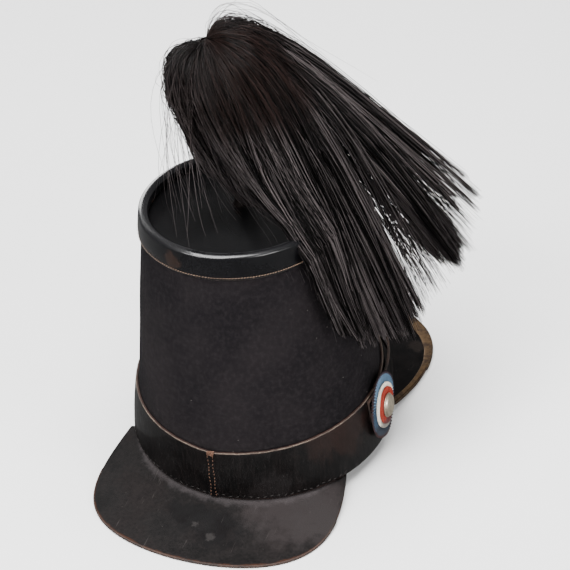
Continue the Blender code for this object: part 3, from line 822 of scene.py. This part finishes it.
def make_top_band(face, edge):
    """The top band: raw lower edge, flat face, rolled crest, lip inside."""
    outer, inner = GAP + TOP_BAND_WALL, -BODY_WALL - GAP
    turned_in = inner - TOP_BAND_WALL
    middle, half, crest = (outer + turned_in) / 2, (outer - turned_in) / 2, GAP + TOP_BAND_WALL
    bottom = 1 - TOP_BAND_HEIGHT / BODY_HEIGHT
    rows = [(bottom, GAP, 0, 0.0), (bottom, outer - 0.0003, 0, 0.0), (bottom + 0.0015, outer, 0, 0.05)]
    for s in np.linspace(bottom + 0.006, 1 - 0.008, 9):
        way = (s - bottom) / (1 - bottom)
        rows.append((s, outer + 0.0003 * math.sin(math.pi * way), 0, 0.05 + 0.5 * way))
    rows += [(1, middle + half * math.cos(a), crest * math.sin(a), 0.55 + 0.4 * a / math.pi)
             for a in np.linspace(0.0, math.pi, 15)]
    rows += [(1, turned_in, -TOP_BAND_LIP, 0.98), (1, inner, -TOP_BAND_LIP, 1.0),
             (1, inner, GAP / 2, 1.0), (1, GAP, GAP / 2, 0.5)]
    bands = [1, 1] + [0] * (len(rows) - 2)

    def shift(angle, share, out, lift):
        waved_out = out + unevenness(angle, 0.3, 0.00025) * (out > GAP)
        waved_lift = lift + unevenness(angle, 0.9, 0.0003) * (lift > GAP)
        return share, waved_out, waved_lift

    return hoop("top_band_leather", rows, (face, edge), "patent_leather", "top_band",
                count=360, bands=bands, shift=shift)


def make_top_disc(face):
    """The sunk top: a slightly dished sheet."""
    share = 1 - DISC_SINK / BODY_HEIGHT
    half_width, half_length, setback = section(share)
    fit = BODY_WALL + GAP
    reach = np.array([1e-4] + list(np.linspace(0.06, 0.97, 18)) + [1.0])
    count = 192
    angle = around(count)[:, None]

    def face_points(reaches, drop):
        y = setback + (half_length - fit) * reaches * np.cos(angle)
        x = -(half_width - fit) * reaches * np.sin(angle)
        dish = -0.0012 * np.maximum(0, 1 - reaches ** 2)
        waves = 0.0004 * np.sin(x * 90 + 1) * np.sin(y * 70) * (reaches < 0.95)
        return joined(x, y, disc_height(y) - drop + (dish + waves if drop == 0 else dish))

    above, below = face_points(reach[None, :], 0), face_points(reach[::-1][None, :], DISC_WALL)
    points = np.concatenate((above, below), axis=1)
    v = np.linspace(0, 1, points.shape[1])
    return sheet("top_disc_leather", points, steps_to_one(count), v, (face,), "patent_leather",
                 "top_disc", weld=2e-5, closed_u=True)


def make_peak(name, peak, over, edge, under, slot, node, wave):
    """A leather peak with a rounded raw edge and slight waves in its sheet."""
    count, steps = 150, 26
    angle = peak.angles(count)[:, None]
    share = np.linspace(0, 1, steps + 1)[None, :]
    free = np.sin(np.pi * np.clip(share, 0, 1)) * np.sin(np.pi * (angle / peak.reach + 1) / 2)
    waves = wave * free * (0.5 + 0.5 * np.sin(angle * 5 + share * 4 + 1))
    below = peak.points(angle, share, waves)
    above = peak.points(angle, share, waves + PEAK_WALL)
    ones = np.ones_like(angle)
    nose = []
    for a in (0.25 * math.pi, 0.5 * math.pi, 0.75 * math.pi):
        lift = PEAK_WALL * (0.5 - 0.5 * math.cos(a))
        nose.append(peak.points(angle, ones, lift, ones * PEAK_WALL * 0.32 * math.sin(a)))
    points = np.concatenate((below, *nose, above[:, ::-1]), axis=1)
    v = np.concatenate((1 - share[0], [0, 0, 0], share[0], [1.0]))
    v[-1] = v[0]
    bands = [2] * steps + [1] * 4 + [0] * steps + [2]
    return sheet(name, points, steps_to_one(count), v, (over, edge, under), slot, node,
                 closed_v=True, bands=bands, caps=True)


def make_peak_rim(brass):
    """The U-shaped rim, with rounded corners and slightly uneven inner edges."""
    peak, count = FRONT, 220
    angle = peak.angles(count, reach=0.985)[:, None]
    depth = peak.reach_at(angle)
    seam = BODY_WALL + BAND_OUT
    spread = depth * (peak.flare * np.sin(angle) ** 2 + np.cos(angle))
    width = RIM_WIDTH + 0.00025 * np.sin(angle * 40) * np.sin(angle * 17)
    inner = np.maximum(1 - width / depth, (seam + 3 * GAP) / (seam + spread))
    ones = np.ones_like(angle)
    top, low = PEAK_WALL + GAP, -GAP
    half, centre = (top - low) / 2 + RIM_WALL, (top + low) / 2
    rows = [(inner, top + RIM_WALL * 0.5, 0), (inner + (1 - inner) * 0.08, top + RIM_WALL, 0)]
    rows += [(inner + (1 - inner) * s, top + RIM_WALL, 0) for s in (0.4, 0.75)]
    rows += [(ones, centre + half * math.sin(a), (GAP + RIM_WALL) * max(0.0, math.cos(a)) ** 0.6)
             for a in np.linspace(0.48 * math.pi, -0.48 * math.pi, 9)]
    rows += [(inner, low - RIM_WALL, 0), (inner, low, 0)]
    rows += [(ones, low, GAP), (ones, top, GAP), (inner, top, 0)]
    lines = [peak.points(angle, share, lift, ones * out)[:, 0] for share, lift, out in rows]
    points = np.stack(lines, axis=1)
    points[..., 2] = np.maximum(points[..., 2], 0)
    v = np.linspace(0, 1, len(rows) + 1)
    return sheet("peak_rim_brass", points, steps_to_one(count), v, (brass,), "brass", "peak_rim",
                 closed_v=True, caps=True)


def make_chin_strap(face, edge):
    """The strap round the front, with raw brown edges."""
    start = math.radians(STRAP_START)
    angle = np.linspace(start, TAU - math.radians(STRAP_END), 260)[:, None]
    button = TAU - math.radians(STRAP_BUTTON_TURN)
    stand = np.zeros_like(angle)
    for low, high in ((math.pi / 2, math.pi), (math.pi, button)):
        wave = STRAP_STAND * np.sin(math.pi * (angle - low) / (high - low)) ** 2
        stand = np.where((angle > low) & (angle < high), wave, stand)
    high = (BAND_HEIGHT - STRAP_DROP) / BODY_HEIGHT
    low = high - STRAP_WIDTH / BODY_HEIGHT
    inner = BAND_OUT + GAP + stand + 0.0003
    outer = inner + STRAP_WALL - 0.0003
    bevel = 0.0004
    rows = [(low, inner), (low, outer - bevel), (low + 0.003, outer)]
    rows += [(s, outer) for s in np.linspace(low + 0.012, high - 0.012, 6)]
    rows += [(high - 0.003, outer), (high, outer - bevel), (high, inner)]
    points = np.stack([wall(angle, share, out)[:, 0] for share, out in rows], axis=1)
    v = np.concatenate((np.linspace(0, 1, len(rows)), [0.0]))
    bands = [1, 1] + [0] * (len(rows) - 5) + [1, 1, 0]
    return sheet("chin_strap_leather", points, np.linspace(0, 1, len(angle) + 1), v, (face, edge),
                 "patent_leather", "chin_strap", closed_v=True, bands=bands, caps=True)


def side_frame(angle):
    """A frame on the strap's outer face whose own +Z points away from the hat."""
    centre = Vector(wall(angle, COCKADE_HEIGHT / BODY_HEIGHT, STRAP_OUT))
    up = (Vector(wall(angle, BAND_SHARE, STRAP_OUT)) - Vector(wall(angle, 0, STRAP_OUT))).normalized()
    along = (Vector(wall(angle + 0.01, 0.14)) - Vector(wall(angle - 0.01, 0.14))).normalized()
    away = along.cross(up).normalized()
    if away.x * centre.x < 0:
        away = -away
    turn = Matrix((up.cross(away), up, away)).transposed()
    return Matrix.Translation(centre) @ turn.to_4x4()


def pleated(inner, outer, bottom, tooth, depth):
    """Profile rows and a ripple for a ring of pleated ribbon with a pinked edge."""
    radii = np.concatenate((np.linspace(inner, outer, 9), [outer, inner + 0.0001]))
    heights = np.concatenate((np.full(9, bottom + LAYER_WALL), [bottom, bottom]))

    def ripple(angle, radius, height):
        share = np.clip((radius - inner) / (outer - inner), 0, 1)
        wave = np.abs(np.sin(angle * COCKADE_PLEATS / 2))
        top = height > bottom + LAYER_WALL / 2
        fold = np.where(top, -depth * share ** 0.7 * wave, 0.0)
        lift = 0.0005 * share * np.sin(angle * 3 + 0.5) * top
        bite = np.abs(np.sin(angle * COCKADE_PLEATS / 2 + 0.4))
        pinked = radius - tooth * np.where(share > 0.97, bite, 0.0)
        return pinked, height + fold + lift

    return list(zip(radii, heights)), ripple


def make_cockade(blue, white, red, pewter):
    place = side_frame(math.pi / 2)
    bottom = GAP
    for name, finish, inner, outer, tooth, depth, slot in (
        ("cockade_blue", blue, 0.0030, BLUE_RADIUS, BLUE_TOOTH, 0.0010, "blue_ribbon"),
        ("cockade_white", white, 0.0028, WHITE_RADIUS, 0.0003, 0.0003, "white_ribbon"),
        ("cockade_red", red, 0.0026, RED_RADIUS, 0.0003, 0.0003, "red_ribbon"),
    ):
        rows, ripple = pleated(inner, outer, bottom, tooth, depth)
        closed = rows + [rows[0]]
        turned(name + "_ribbon", closed, place, (finish,), slot, name, ripple=ripple,
               count=COCKADE_PLEATS * 6)
        bottom += LAYER_WALL
    make_button("cockade_button_metal", place, bottom, BUTTON_RADIUS, BUTTON_RISE, pewter,
                "pewter", "cockade_button")


def make_button(name, place, seat, radius, rise, metal_finish, slot, node):
    """A domed button with a rolled rim and its shank."""
    dome = [(radius * math.cos(a), seat + rise * (0.25 + 0.75 * math.sin(a)))
            for a in np.linspace(0.55, 1.5, 12)]
    rim = [(radius * 0.93 + radius * 0.07 * math.cos(a), seat + rise * (0.16 + 0.16 * math.sin(a)))
           for a in np.linspace(-1.4, 1.5, 7)]
    profile = [(1e-5, GAP), (SHANK_RADIUS, GAP), (SHANK_RADIUS, seat), (radius * 0.85, seat)] + rim
    profile += [(radius * 0.88, seat + rise * 0.30)] + dome + [(1e-5, seat + rise)]
    turned(name, profile, place, (metal_finish,), slot, node, count=56)


def stem_frame():
    foot = Vector((0, STEM_BACK, float(disc_height(STEM_BACK)) + GAP))
    return Matrix.Translation(foot) @ Matrix.Rotation(math.radians(STEM_LEAN), 4, "Y")


def make_plume_holder(shade_darkened):
    """Socket and stem under the plume, in a near-black copy of the brass: painted shade under the hair."""
    place = stem_frame()
    hole, radius, height = STEM_RADIUS + GAP, SOCKET_RADIUS, SOCKET_HEIGHT
    waist = ((0.74, 0.33), (0.70, 0.5), (0.72, 0.88), (0.80, 0.94))
    socket = [(hole, 0.0013), (radius, 0.0013), (radius, 0.0020)]
    socket += [(radius * across, height * up) for across, up in waist]
    socket += [(radius * 0.72, height), (hole, height), (hole, 0.0013)]
    turned("plume_socket_brass", socket, place, (shade_darkened,), "brass", "plume_socket", count=40)
    stem = [(1e-5, 0.0012), (STEM_RADIUS, 0.0012), (STEM_RADIUS, STEM_LENGTH), (1e-5, STEM_LENGTH)]
    turned("plume_stem_brass", stem, place, (shade_darkened,), "brass", "plume_stem", count=24)


# Stitches

def make_stitching(pale, rust, dark):
    """Rows of stitches along the bands, the back seam and the peaks."""
    out = BAND_OUT + 0.0005
    full = np.linspace(0, TAU, 361)
    top_share = 1 - (TOP_BAND_HEIGHT - 0.0017) / BODY_HEIGHT
    top_row = wall(full, top_share, GAP + TOP_BAND_WALL + 0.0003)
    seam = []
    for offset in (-0.024, 0.014):
        share = np.linspace(0.010, BAND_SHARE - 0.020, 30)
        seam.append(wall(SEAM_ANGLE + offset + 0.003 * np.sin(share * 70 + offset * 90), share, out))
    rows = []
    for peak, side in ((REAR, 0.0), (FRONT, math.pi)):
        angle = np.linspace(-peak.reach * 0.96, peak.reach * 0.96, 160)
        rows.append(wall(angle + side, 0.014 + 0.003 * np.sin(angle * 31), out - 0.0001))
    for name, paths, pitch, length, radius, slant, jitter, seed, sewn in (
        ("top_band_stitches", [top_row], 0.0019, 0.0013, 0.00022, 0.35, 0.12, 3, pale),
        ("back_seam_stitches", seam, 0.0031, 0.0021, 0.00030, 0.3, 0.6, 5, rust),
        ("peak_stitches", rows, 0.0046, 0.0026, 0.00028, 0.3, 0.7, 8, dark),
    ):
        grown(name, STITCHES, paths, "patent_leather", Pitch=pitch, Length=length, Radius=radius,
              Slant=slant, Jitter=jitter, Seed=seed, Material=sewn)


def make_seam(face, rust):
    """The band's overlapping end at the back and the knot at its top."""
    steps = 24
    share = np.linspace(0.0, SEAM_TOP, steps)[None, :]
    width = np.array([-0.034, -0.031, -0.008, 0.020, 0.024])[:, None]
    rise = np.array([0.0002, 0.0006, 0.0007, 0.0006, 0.0])[:, None]
    angle = SEAM_ANGLE + width + 0.004 * np.sin(share * 60)
    over = wall(angle, share, BAND_OUT + rise)
    under = wall(angle[::-1], share, BAND_OUT - 0.0003)
    points = np.concatenate((over, under), axis=0)
    u, v = np.linspace(0, 1, len(points) + 1), np.linspace(0, 1, steps)
    sheet("back_seam_overlap", points, u, v, (face,), "patent_leather", fill=True, closed_u=True)
    knot = wall(SEAM_ANGLE, SEAM_TOP, BAND_OUT + 0.0006)
    turn = np.linspace(0, TAU, KNOT_POINTS)
    loops = []
    for k in range(KNOT_LOOPS):
        size = 0.0014 + 0.0003 * k
        tilt = k * 1.1
        loops.append(knot + joined(size * np.cos(turn), 0.0006 * np.sin(2 * turn + tilt),
                                   size * 0.8 * np.sin(turn + tilt)))
    grown("back_seam_knot", STRANDS, loops, "patent_leather",
          {"thickness": np.full(KNOT_POINTS * KNOT_LOOPS, KNOT_THREAD)}, Sides=5, Material=rust)


# Horsehair

# Rows round the plume's head. An angle of 0 is the wearer's right and 90 the front.
# leave and rise are the direction in which the hair leaves the head, arch is how far
# that pulls it, and to, reach and drop are where it ends, seen from the head. ease is
# how soon it turns towards its end. Arch, reach and drop are shares of the hair's length.
HAIR = np.array((
    # leave, rise, arch, to, reach, drop, ease, share of the hair
    (165, -5, 0.08, -60, 0.04, 0.28, 0.35, 0.4),
    (-168, -15, 0.12, -60, 0.05, 0.29, 0.30, 0.5),
    (-142, -10, 0.17, -60, 0.06, 0.30, 0.28, 0.8),
    (-121, 1, 0.205, -55, 0.08, 0.31, 0.33, 0.8),
    (-108, 4, 0.21, -28, 0.20, 0.39, 0.40, 0.5),
    (-96, 10, 0.17, -17, 0.37, 0.66, 0.38, 1.0),
    (-84, 6, 0.175, -13, 0.385, 0.70, 0.40, 1.0),
    (-70, 6, 0.20, -10, 0.395, 0.73, 0.42, 1.0),
    (-55, 12, 0.21, -6, 0.415, 0.76, 0.43, 1.0),
    (-35, 20, 0.22, -3, 0.435, 0.77, 0.45, 1.0),
    (-15, 27, 0.215, 1, 0.455, 0.78, 0.45, 1.0),
    (5, 33, 0.205, 7, 0.49, 0.785, 0.45, 1.0),
    (22, 36, 0.20, 15, 0.525, 0.765, 0.45, 1.0),
    (40, 40, 0.19, 21, 0.595, 0.67, 0.44, 1.2),
    (55, 44, 0.18, 24, 0.625, 0.665, 0.45, 1.2),
    (66, 48, 0.17, 28, 0.655, 0.645, 0.50, 1.0),
    (76, 55, 0.16, 33, 0.655, 0.575, 0.60, 0.4),
    (95, 35, 0.18, 35, 0.685, 0.575, 0.65, 0.35),
    (110, 30, 0.19, 37, 0.71, 0.565, 0.65, 0.3),
))
END_COLUMNS = (3, 4, 5)              # to, reach and drop
FIRST_LONG = 4.2                     # rows after this one reach the plume's ends
# The ends part into tufts: the row in the middle of each, and how much it narrows
TUFTS = np.array(((5.6, 0.8), (8.6, 0.8), (11.2, 0.6), (14.1, 0.35), (17.0, 0.55)))
ROOT_RADIUS = 0.008
CLUMPS = 130
STRANDS_IN_ALL = 10000
STRAND_POINTS = 13
STRAND_RADIUS = 0.00023
STRAY_RADIUS = 0.00011


def direction(angle, rise):
    angle, rise = np.radians(angle), np.radians(rise)
    return joined(-np.cos(angle) * np.cos(rise), -np.sin(angle) * np.cos(rise), np.sin(rise))


def pushed_clear(points, distance):
    """The nearest places that are at least this far outside the hat."""
    share = np.clip((points[..., 2] - BODY_BOTTOM) / BODY_HEIGHT, 0, 1)
    half_width, half_length, setback = section(share)
    band = np.where(share < BAND_SHARE, BAND_OUT, GAP + TOP_BAND_WALL)
    x, y = points[..., 0], points[..., 1] - setback
    reach = np.hypot(x / (half_width + band), y / (half_length + band))
    length = np.maximum(np.hypot(x, y), 1e-6)
    edge = length / np.maximum(reach, 1e-6)
    out = length - edge
    crest = wall(0.0, 1.0, 0.0, GAP + TOP_BAND_WALL)
    ceiling = crest[2] + TOP_SLOPE * (points[..., 1] - crest[1])
    up = points[..., 2] - ceiling
    inside = (out <= 0) & (up <= 0)
    near = np.hypot(np.maximum(out, 0), np.maximum(up, 0))
    grow = np.where((near < distance) & ~inside, distance / np.maximum(near, 1e-6), 1.0)
    new_out = np.where(inside & (up <= out), distance, np.where(out > 0, out * grow, out))
    new_up = np.where(inside & (up > out), distance, np.where(up > 0, up * grow, up))
    scale = (edge + new_out) / length
    return joined(x * scale, y * scale + setback, ceiling + new_up)


def hair_head():
    place = stem_frame()
    return np.array(place @ Vector((0, 0, STEM_LENGTH + GAP + HEAD_RADIUS - STEM_INSERT)))


def hair_rows(at, depth):
    """Rows between those of the table, for the plume's skin at depth 1 or under it."""
    tuft = TUFTS[np.argmin(np.abs(TUFTS[:, 0] - at[:, None]), axis=1)]
    end_at = np.where(at > FIRST_LONG, tuft[:, 0] + (at - tuft[:, 0]) * tuft[:, 1], at)
    numbers = np.arange(len(HAIR))
    columns = [np.interp(end_at if k in END_COLUMNS else at, numbers, HAIR[:, k]) for k in range(7)]
    rows = np.stack(columns, axis=1)
    rows[:, 1] += 10 * (1 - depth)
    rows[:, 2] *= 0.45 + 0.55 * depth
    rows[:, 4] *= 1 - 0.10 * (1 - depth)
    rows[:, 5] *= 1 - 0.05 * (1 - depth)
    return rows


def hair_routes(rows, times):
    """One smooth path from the head to its end for each row."""
    leave, rise, arch, to, reach, drop, ease = rows.T
    head = hair_head()
    root = head + ROOT_RADIUS * direction(leave, np.minimum(88, rise + 48))
    sideways = reach[:, None] * direction(to, 0 * to)
    tip = head + HAIR_LENGTH * (sideways - drop[:, None] * np.array([0, 0, 1.0]))
    lifted = root + HAIR_LENGTH * arch[:, None] * direction(leave, rise)
    easing = tip + (lifted - tip) * ease[:, None]
    t = times[..., None]
    return ((1 - t) ** 3 * root[:, None] + 3 * (1 - t) ** 2 * t * lifted[:, None]
            + 3 * (1 - t) * t ** 2 * easing[:, None] + t ** 3 * tip[:, None])


def settled(path, clear):
    """Paths eased over the hat's rim without touching it."""
    for _ in range(4):
        path = pushed_clear(path, clear)
        path[:, 1:-1] = (path[:, :-2] + 2 * path[:, 1:-1] + path[:, 2:]) / 4
    return pushed_clear(path, clear * 0.8)


def hair_paths(count, rng):
    """Strands of the whole plume, gathered in clumps towards their blunt ends."""
    scale = np.linspace(0, len(HAIR) - 1, 1901)
    weight = np.cumsum(np.interp(scale, np.arange(len(HAIR)), HAIR[:, 7]))
    weight /= weight[-1]
    clump_at = np.interp(rng.random(CLUMPS), weight, scale)
    clump_depth = rng.random(CLUMPS) ** 0.7
    clump_turn = rng.normal(0, 1, (CLUMPS, 7)) * (6, 5, 0, 1.1, 0.009, 0.011, 0)
    clump_turn[:, 3:6] *= np.interp(clump_at, (12, 16), (1.0, 2.2))[:, None]
    clump_bend = rng.normal(0, 0.0035, (CLUMPS, 3))
    clump_shade = rng.normal(0, 0.10, CLUMPS)
    own_at = np.interp(rng.random(count), weight, scale)
    tries = rng.integers(0, CLUMPS, (count, 30))
    clump = tries[np.arange(count), np.argmin(np.abs(clump_at[tries] - own_at[:, None]), axis=1)]
    depth = np.clip(clump_depth[clump] + rng.normal(0, 0.13, count), 0, 1)
    own_turn = rng.normal(0, 1, (count, 7)) * (5, 5, 0.006, 0.5, 0.005, 0.006, 0)
    short = rng.random(count) < 0.12
    length = np.where(short, rng.uniform(0.55, 0.96, count), 1 + rng.normal(0, 0.008, count))
    times = np.linspace(0, 1, STRAND_POINTS)[None, :] ** 0.85 * length[:, None]
    path = hair_routes(hair_rows(own_at, depth) + clump_turn[clump] + own_turn, times)
    shared = hair_routes((hair_rows(clump_at, clump_depth) + clump_turn)[clump], times)
    gather = np.clip((times - 0.15) / 0.75, 0, 1) ** 1.2 * rng.uniform(0.45, 0.92, count)[:, None]
    path += (shared - path) * gather[..., None]
    path += clump_bend[clump][:, None, :] * np.sin(times * 6)[..., None]
    path += rng.normal(0, 0.0011, (count, 1, 3)) * np.sin(np.pi * np.minimum(times * 4, 1) / 2)[..., None]
    clear = 0.0015 + 0.0085 * depth[:, None] * np.ones_like(times)
    shade = np.clip(rng.normal(0.38, 0.30, count) + clump_shade[clump], 0, 1)
    order = np.argsort(own_at)
    return settled(path, clear)[order], shade[order]


def loose_paths(rows, rng, shortest, curl, turns, clear, darkest):
    """Loose hairs along their rows, each cut, curled and shaded by chance."""
    count = len(rows)
    times = np.linspace(0, 1, STRAND_POINTS)[None, :] * rng.uniform(shortest, 1.0, count)[:, None]
    path = hair_routes(rows, times)
    wave = rng.normal(0, curl, (count, 3))
    path += wave[:, None, :] * np.sin(times * rng.uniform(*turns, count)[:, None])[..., None]
    return settled(path, np.full(times.shape, clear)), rng.uniform(darkest, 1.0, count)


def stray_paths(count, rng):
    """Loose hairs that stand off the plume."""
    rows = hair_rows(rng.uniform(0, len(HAIR) - 1, count), np.ones(count))
    rows[:, 0] += rng.normal(0, 12, count)
    rows[:, 1] += rng.normal(4, 10, count)
    rows[:, 2] *= rng.uniform(0.9, 1.35, count)
    rows[:, 3] += rng.normal(0, 6, count)
    rows[:, 4] *= rng.uniform(0.7, 1.02, count)
    rows[:, 5] *= rng.uniform(0.85, 1.10, count)
    return loose_paths(rows, rng, 0.6, 0.003, (4, 12), 0.0014, 0.3)


def fallen_paths(count, rng):
    """Loose hairs from the plume's short side that fall over the top and the band."""
    low = np.array((-150, -14, 0.10, -100, 0.04, 0.34, 0.25))
    high = np.array((-95, 8, 0.18, -50, 0.30, 0.50, 0.60))
    return loose_paths(rng.uniform(low, high, (count, 7)), rng, 0.8, 0.004, (3, 9), 0.0010, 0.2)


def add_hair(name, path, shade, hair, radius, node=None):
    """Strands as one piece of thin tapered tubes."""
    whole = np.linspace(0, 1, STRAND_POINTS)[None, :]
    thickness = radius * (1 - 0.6 * whole ** 6) * np.ones((len(path), 1))
    grown(name, STRANDS, list(path), "horsehair", {
        "thickness": thickness, "shade": np.repeat(shade, STRAND_POINTS)},
        node=node, Sides=3, Material=hair)


def make_hair_head(root):
    """The ball at the plume's head, which the strands leave; its matt near-black finish is painted shade."""
    radius = ROOT_RADIUS * 0.92
    profile = [(1e-5 + radius * math.cos(a), radius * math.sin(a))
               for a in np.linspace(-math.pi / 2, math.pi / 2, 13)]
    turned("plume_head", profile, Matrix.Translation(hair_head()), (root,), "horsehair", count=32)


def make_plume(hair):
    rng = np.random.default_rng(11)
    path, shade = hair_paths(STRANDS_IN_ALL, rng)
    thin = 1
    names = ("plume_hair_short", "plume_hair_near", "plume_hair_side", "plume_hair_far")
    parts = np.array_split(np.arange(0, STRANDS_IN_ALL, thin), len(names))
    for name, part in zip(names, parts):
        add_hair(name, path[part], shade[part], hair, STRAND_RADIUS * thin ** 0.5,
                 "plume" if part is parts[0] else None)
    add_hair("plume_strays", *stray_paths(260, rng), hair, STRAY_RADIUS)
    add_hair("plume_fallen_hair", *fallen_paths(55, rng), hair, STRAY_RADIUS * 1.2)


# Stage, light and camera

def add_light(name, place, size, power):
    data = bpy.data.lights.new(name, "AREA")
    data.shape = "RECTANGLE"
    data.size, data.size_y = size
    data.energy = power
    made = placed(name, data)
    made.location = place
    made.rotation_mode = "QUATERNION"
    made.rotation_quaternion = (CAMERA_AIM - Vector(place)).to_track_quat("-Z", "Y")


def set_stage():
    """A plain pale floor, an even white surround and the soft lights."""
    mesh = bpy.data.meshes.new("floor")
    half = 6.0
    corners = [(-half, -half, 0), (half, -half, 0), (half, half, 0), (-half, half, 0)]
    mesh.from_pydata(corners, [], [(0, 1, 2, 3)])
    f = Finish("floor_paint", 0.9)
    f.link(f.n.mix(f.n.noise(f.place, 3.0), (0.86, 0.86, 0.86), (0.90, 0.90, 0.90)), "Base Color")
    mesh.materials.append(f.material)
    floor = placed("floor", mesh)
    floor.location.z = -0.0002
    floor.visible_glossy = False
    world = bpy.data.worlds.new("studio")
    world.use_nodes = True
    world.node_tree.nodes["Background"].inputs["Color"].default_value = (1.0, 1.0, 1.0, 1.0)
    world.node_tree.nodes["Background"].inputs["Strength"].default_value = 0.22
    bpy.context.scene.world = world
    for light in LIGHTS:
        add_light(*light)


def add_camera():
    turn, rise = math.radians(CAMERA_TURN), math.radians(CAMERA_RISE)
    back = Vector((math.sin(turn) * math.cos(rise), -math.cos(turn) * math.cos(rise), math.sin(rise)))
    data = bpy.data.cameras.new("camera")
    data.sensor_width, data.lens = 36.0, CAMERA_LENS
    camera = placed("camera", data)
    camera.location = CAMERA_AIM + back * CAMERA_REACH
    camera.rotation_mode = "QUATERNION"
    roll = Quaternion((0, 0, 1), math.radians(CAMERA_ROLL))
    camera.rotation_quaternion = (-back).to_track_quat("-Z", "Y") @ roll
    bpy.context.scene.camera = camera


def place_on(angle, share):
    """A place on the outer face of the bands."""
    return tuple(float(c) for c in wall(angle, share, BAND_OUT))


# Marks on the leathers: place, radius, strength, colour
RUBBED_GREY = (0.0230, 0.0190, 0.0190)
DARK_STAIN = (0.0028, 0.0024, 0.0026)
PALE_SPOT = (0.030, 0.027, 0.026)
TOP_BAND_MARKS = (
    (place_on(-0.279, 0.962), 0.006, 0.6, (0.022, 0.010, 0.006)),
)
BAND_MARKS = (
    (place_on(0.93, 0.21), 0.016, 0.7, (0.0140, 0.0055, 0.0040)),
    (place_on(1.13, 0.17), 0.020, 0.7, (0.0150, 0.0060, 0.0042)),
    (place_on(0.45, 0.05), 0.012, 0.5, (0.0130, 0.0110, 0.0110)),
)
REAR_MARKS = (
    ((-0.058, 0.085, 0.003), 0.030, 0.8, RUBBED_GREY),
    ((-0.030, 0.087, 0.003), 0.020, 0.4, RUBBED_GREY),
    ((0.014, 0.114, 0.003), 0.013, 0.8, DARK_STAIN),
    ((-0.009, 0.121, 0.003), 0.016, 0.8, DARK_STAIN),
    ((0.0057, 0.1202, 0.004), 0.0024, 0.5, PALE_SPOT),
    ((-0.0078, 0.1272, 0.004), 0.0030, 0.5, PALE_SPOT),
)
FRONT_MARKS = (
    ((-0.058, -0.128, 0.005), 0.008, 0.6, (0.0180, 0.0110, 0.0080)),
    ((-0.078, -0.112, 0.004), 0.006, 0.5, (0.0160, 0.0120, 0.0100)),
)


def main():
    cloth = wool_cloth()
    inside = raw_edge("inner_board", (0.070, 0.050, 0.035), (0.035, 0.026, 0.020))
    patent = leather("patent_leather", (0.0010, 0.0010, 0.0015), (0.0024, 0.0022, 0.0030), 0.18, 0.60,
                     0.3, scratch=0.1, marks=TOP_BAND_MARKS)
    disc = leather("disc_leather", (0.0010, 0.0010, 0.0012), (0.0022, 0.0020, 0.0023), 0.32, 0.05,
                   0.08, wear=(0.0060, 0.0040, 0.0035), amount=0.3, scratch=0.1)
    band = leather("band_leather", (0.0011, 0.0009, 0.0010), (0.0040, 0.0028, 0.0027), 0.34, 0.25,
                   0.3, amount=0.8, wear=(0.030, 0.012, 0.008), streaked=0.5, marks=BAND_MARKS)
    dull = leather("worn_leather", (0.0022, 0.0019, 0.0019), (0.0112, 0.0092, 0.0090), 0.66, 0.0,
                   0.12, wear=(0.040, 0.017, 0.010), amount=0.8, patch=30.0, scratch=0.4, seam=0.7,
                   marks=REAR_MARKS)
    front = leather("front_peak_leather", (0.0005, 0.0004, 0.0005), (0.0042, 0.0031, 0.0030), 0.46,
                    0.02, 0.08, amount=0.5, patch=60.0, tone=75.0, marks=FRONT_MARKS)
    under = leather("peak_underside", (0.0150, 0.0110, 0.0085), (0.0280, 0.0200, 0.0160), 0.75, 0.0, 0.1)
    pale_edge = raw_edge("pale_raw_edge", (0.160, 0.122, 0.092), (0.050, 0.036, 0.028))
    brown_edge = raw_edge("brown_raw_edge", (0.056, 0.027, 0.017), (0.016, 0.010, 0.008))
    brass = metal("aged_brass", (0.150, 0.092, 0.046), (0.052, 0.035, 0.025), 0.46)
    # Painted shade: a near-black copy of the brass for the socket and stem, which lie in shade under the
    # hair.
    shade_darkened = metal("shade_darkened_brass", (0.012, 0.010, 0.009), (0.006, 0.004, 0.0035), 0.6)
    pewter = metal("pewter", (0.66, 0.59, 0.46), (0.38, 0.335, 0.26), 0.42)
    # Each ribbon's second colour is both its grime and the painted shade in its folds.
    blue = ribbon("blue_ribbon", (0.085, 0.145, 0.215), (0.012, 0.020, 0.036),
                  ribs_round=COCKADE_PLEATS, depth=0.9, rim=0.9)
    white = ribbon("white_ribbon", (0.72, 0.66, 0.56), (0.28, 0.23, 0.19), 0.25)
    red = ribbon("red_ribbon", (0.25, 0.026, 0.014), (0.08, 0.014, 0.010), 0.3)
    tan = thread("tan_thread", (0.26, 0.17, 0.115))
    rust = thread("rust_thread", (0.150, 0.070, 0.040))
    black = thread("black_thread", (0.014, 0.010, 0.009))
    # The root ball's matt near-black finish is painted shade.
    root = root_ball_shade()
    hair = horsehair()

    add_camera()
    set_stage()
    make_body(cloth, inside)
    make_lower_band(band, pale_edge, inside)
    make_top_band(patent, pale_edge)
    make_top_disc(disc)
    make_peak("rear_peak_leather", REAR, dull, brown_edge, under, "worn_leather", "rear_peak", 0.0010)
    make_peak("front_peak_leather", FRONT, front, brown_edge, under, "patent_leather", "front_peak", 0.0)
    make_peak_rim(brass)
    make_chin_strap(front, brown_edge)
    make_cockade(blue, white, red, pewter)
    make_button("strap_button_brass", side_frame(-math.radians(STRAP_BUTTON_TURN)), GAP + STRAP_BUTTON_STAND,
                STRAP_BUTTON_RADIUS, STRAP_BUTTON_RISE, brass, "brass", "strap_button")
    make_plume_holder(shade_darkened)
    make_stitching(tan, rust, black)
    make_seam(band, rust)
    make_plume(hair)
    make_hair_head(root)


main()
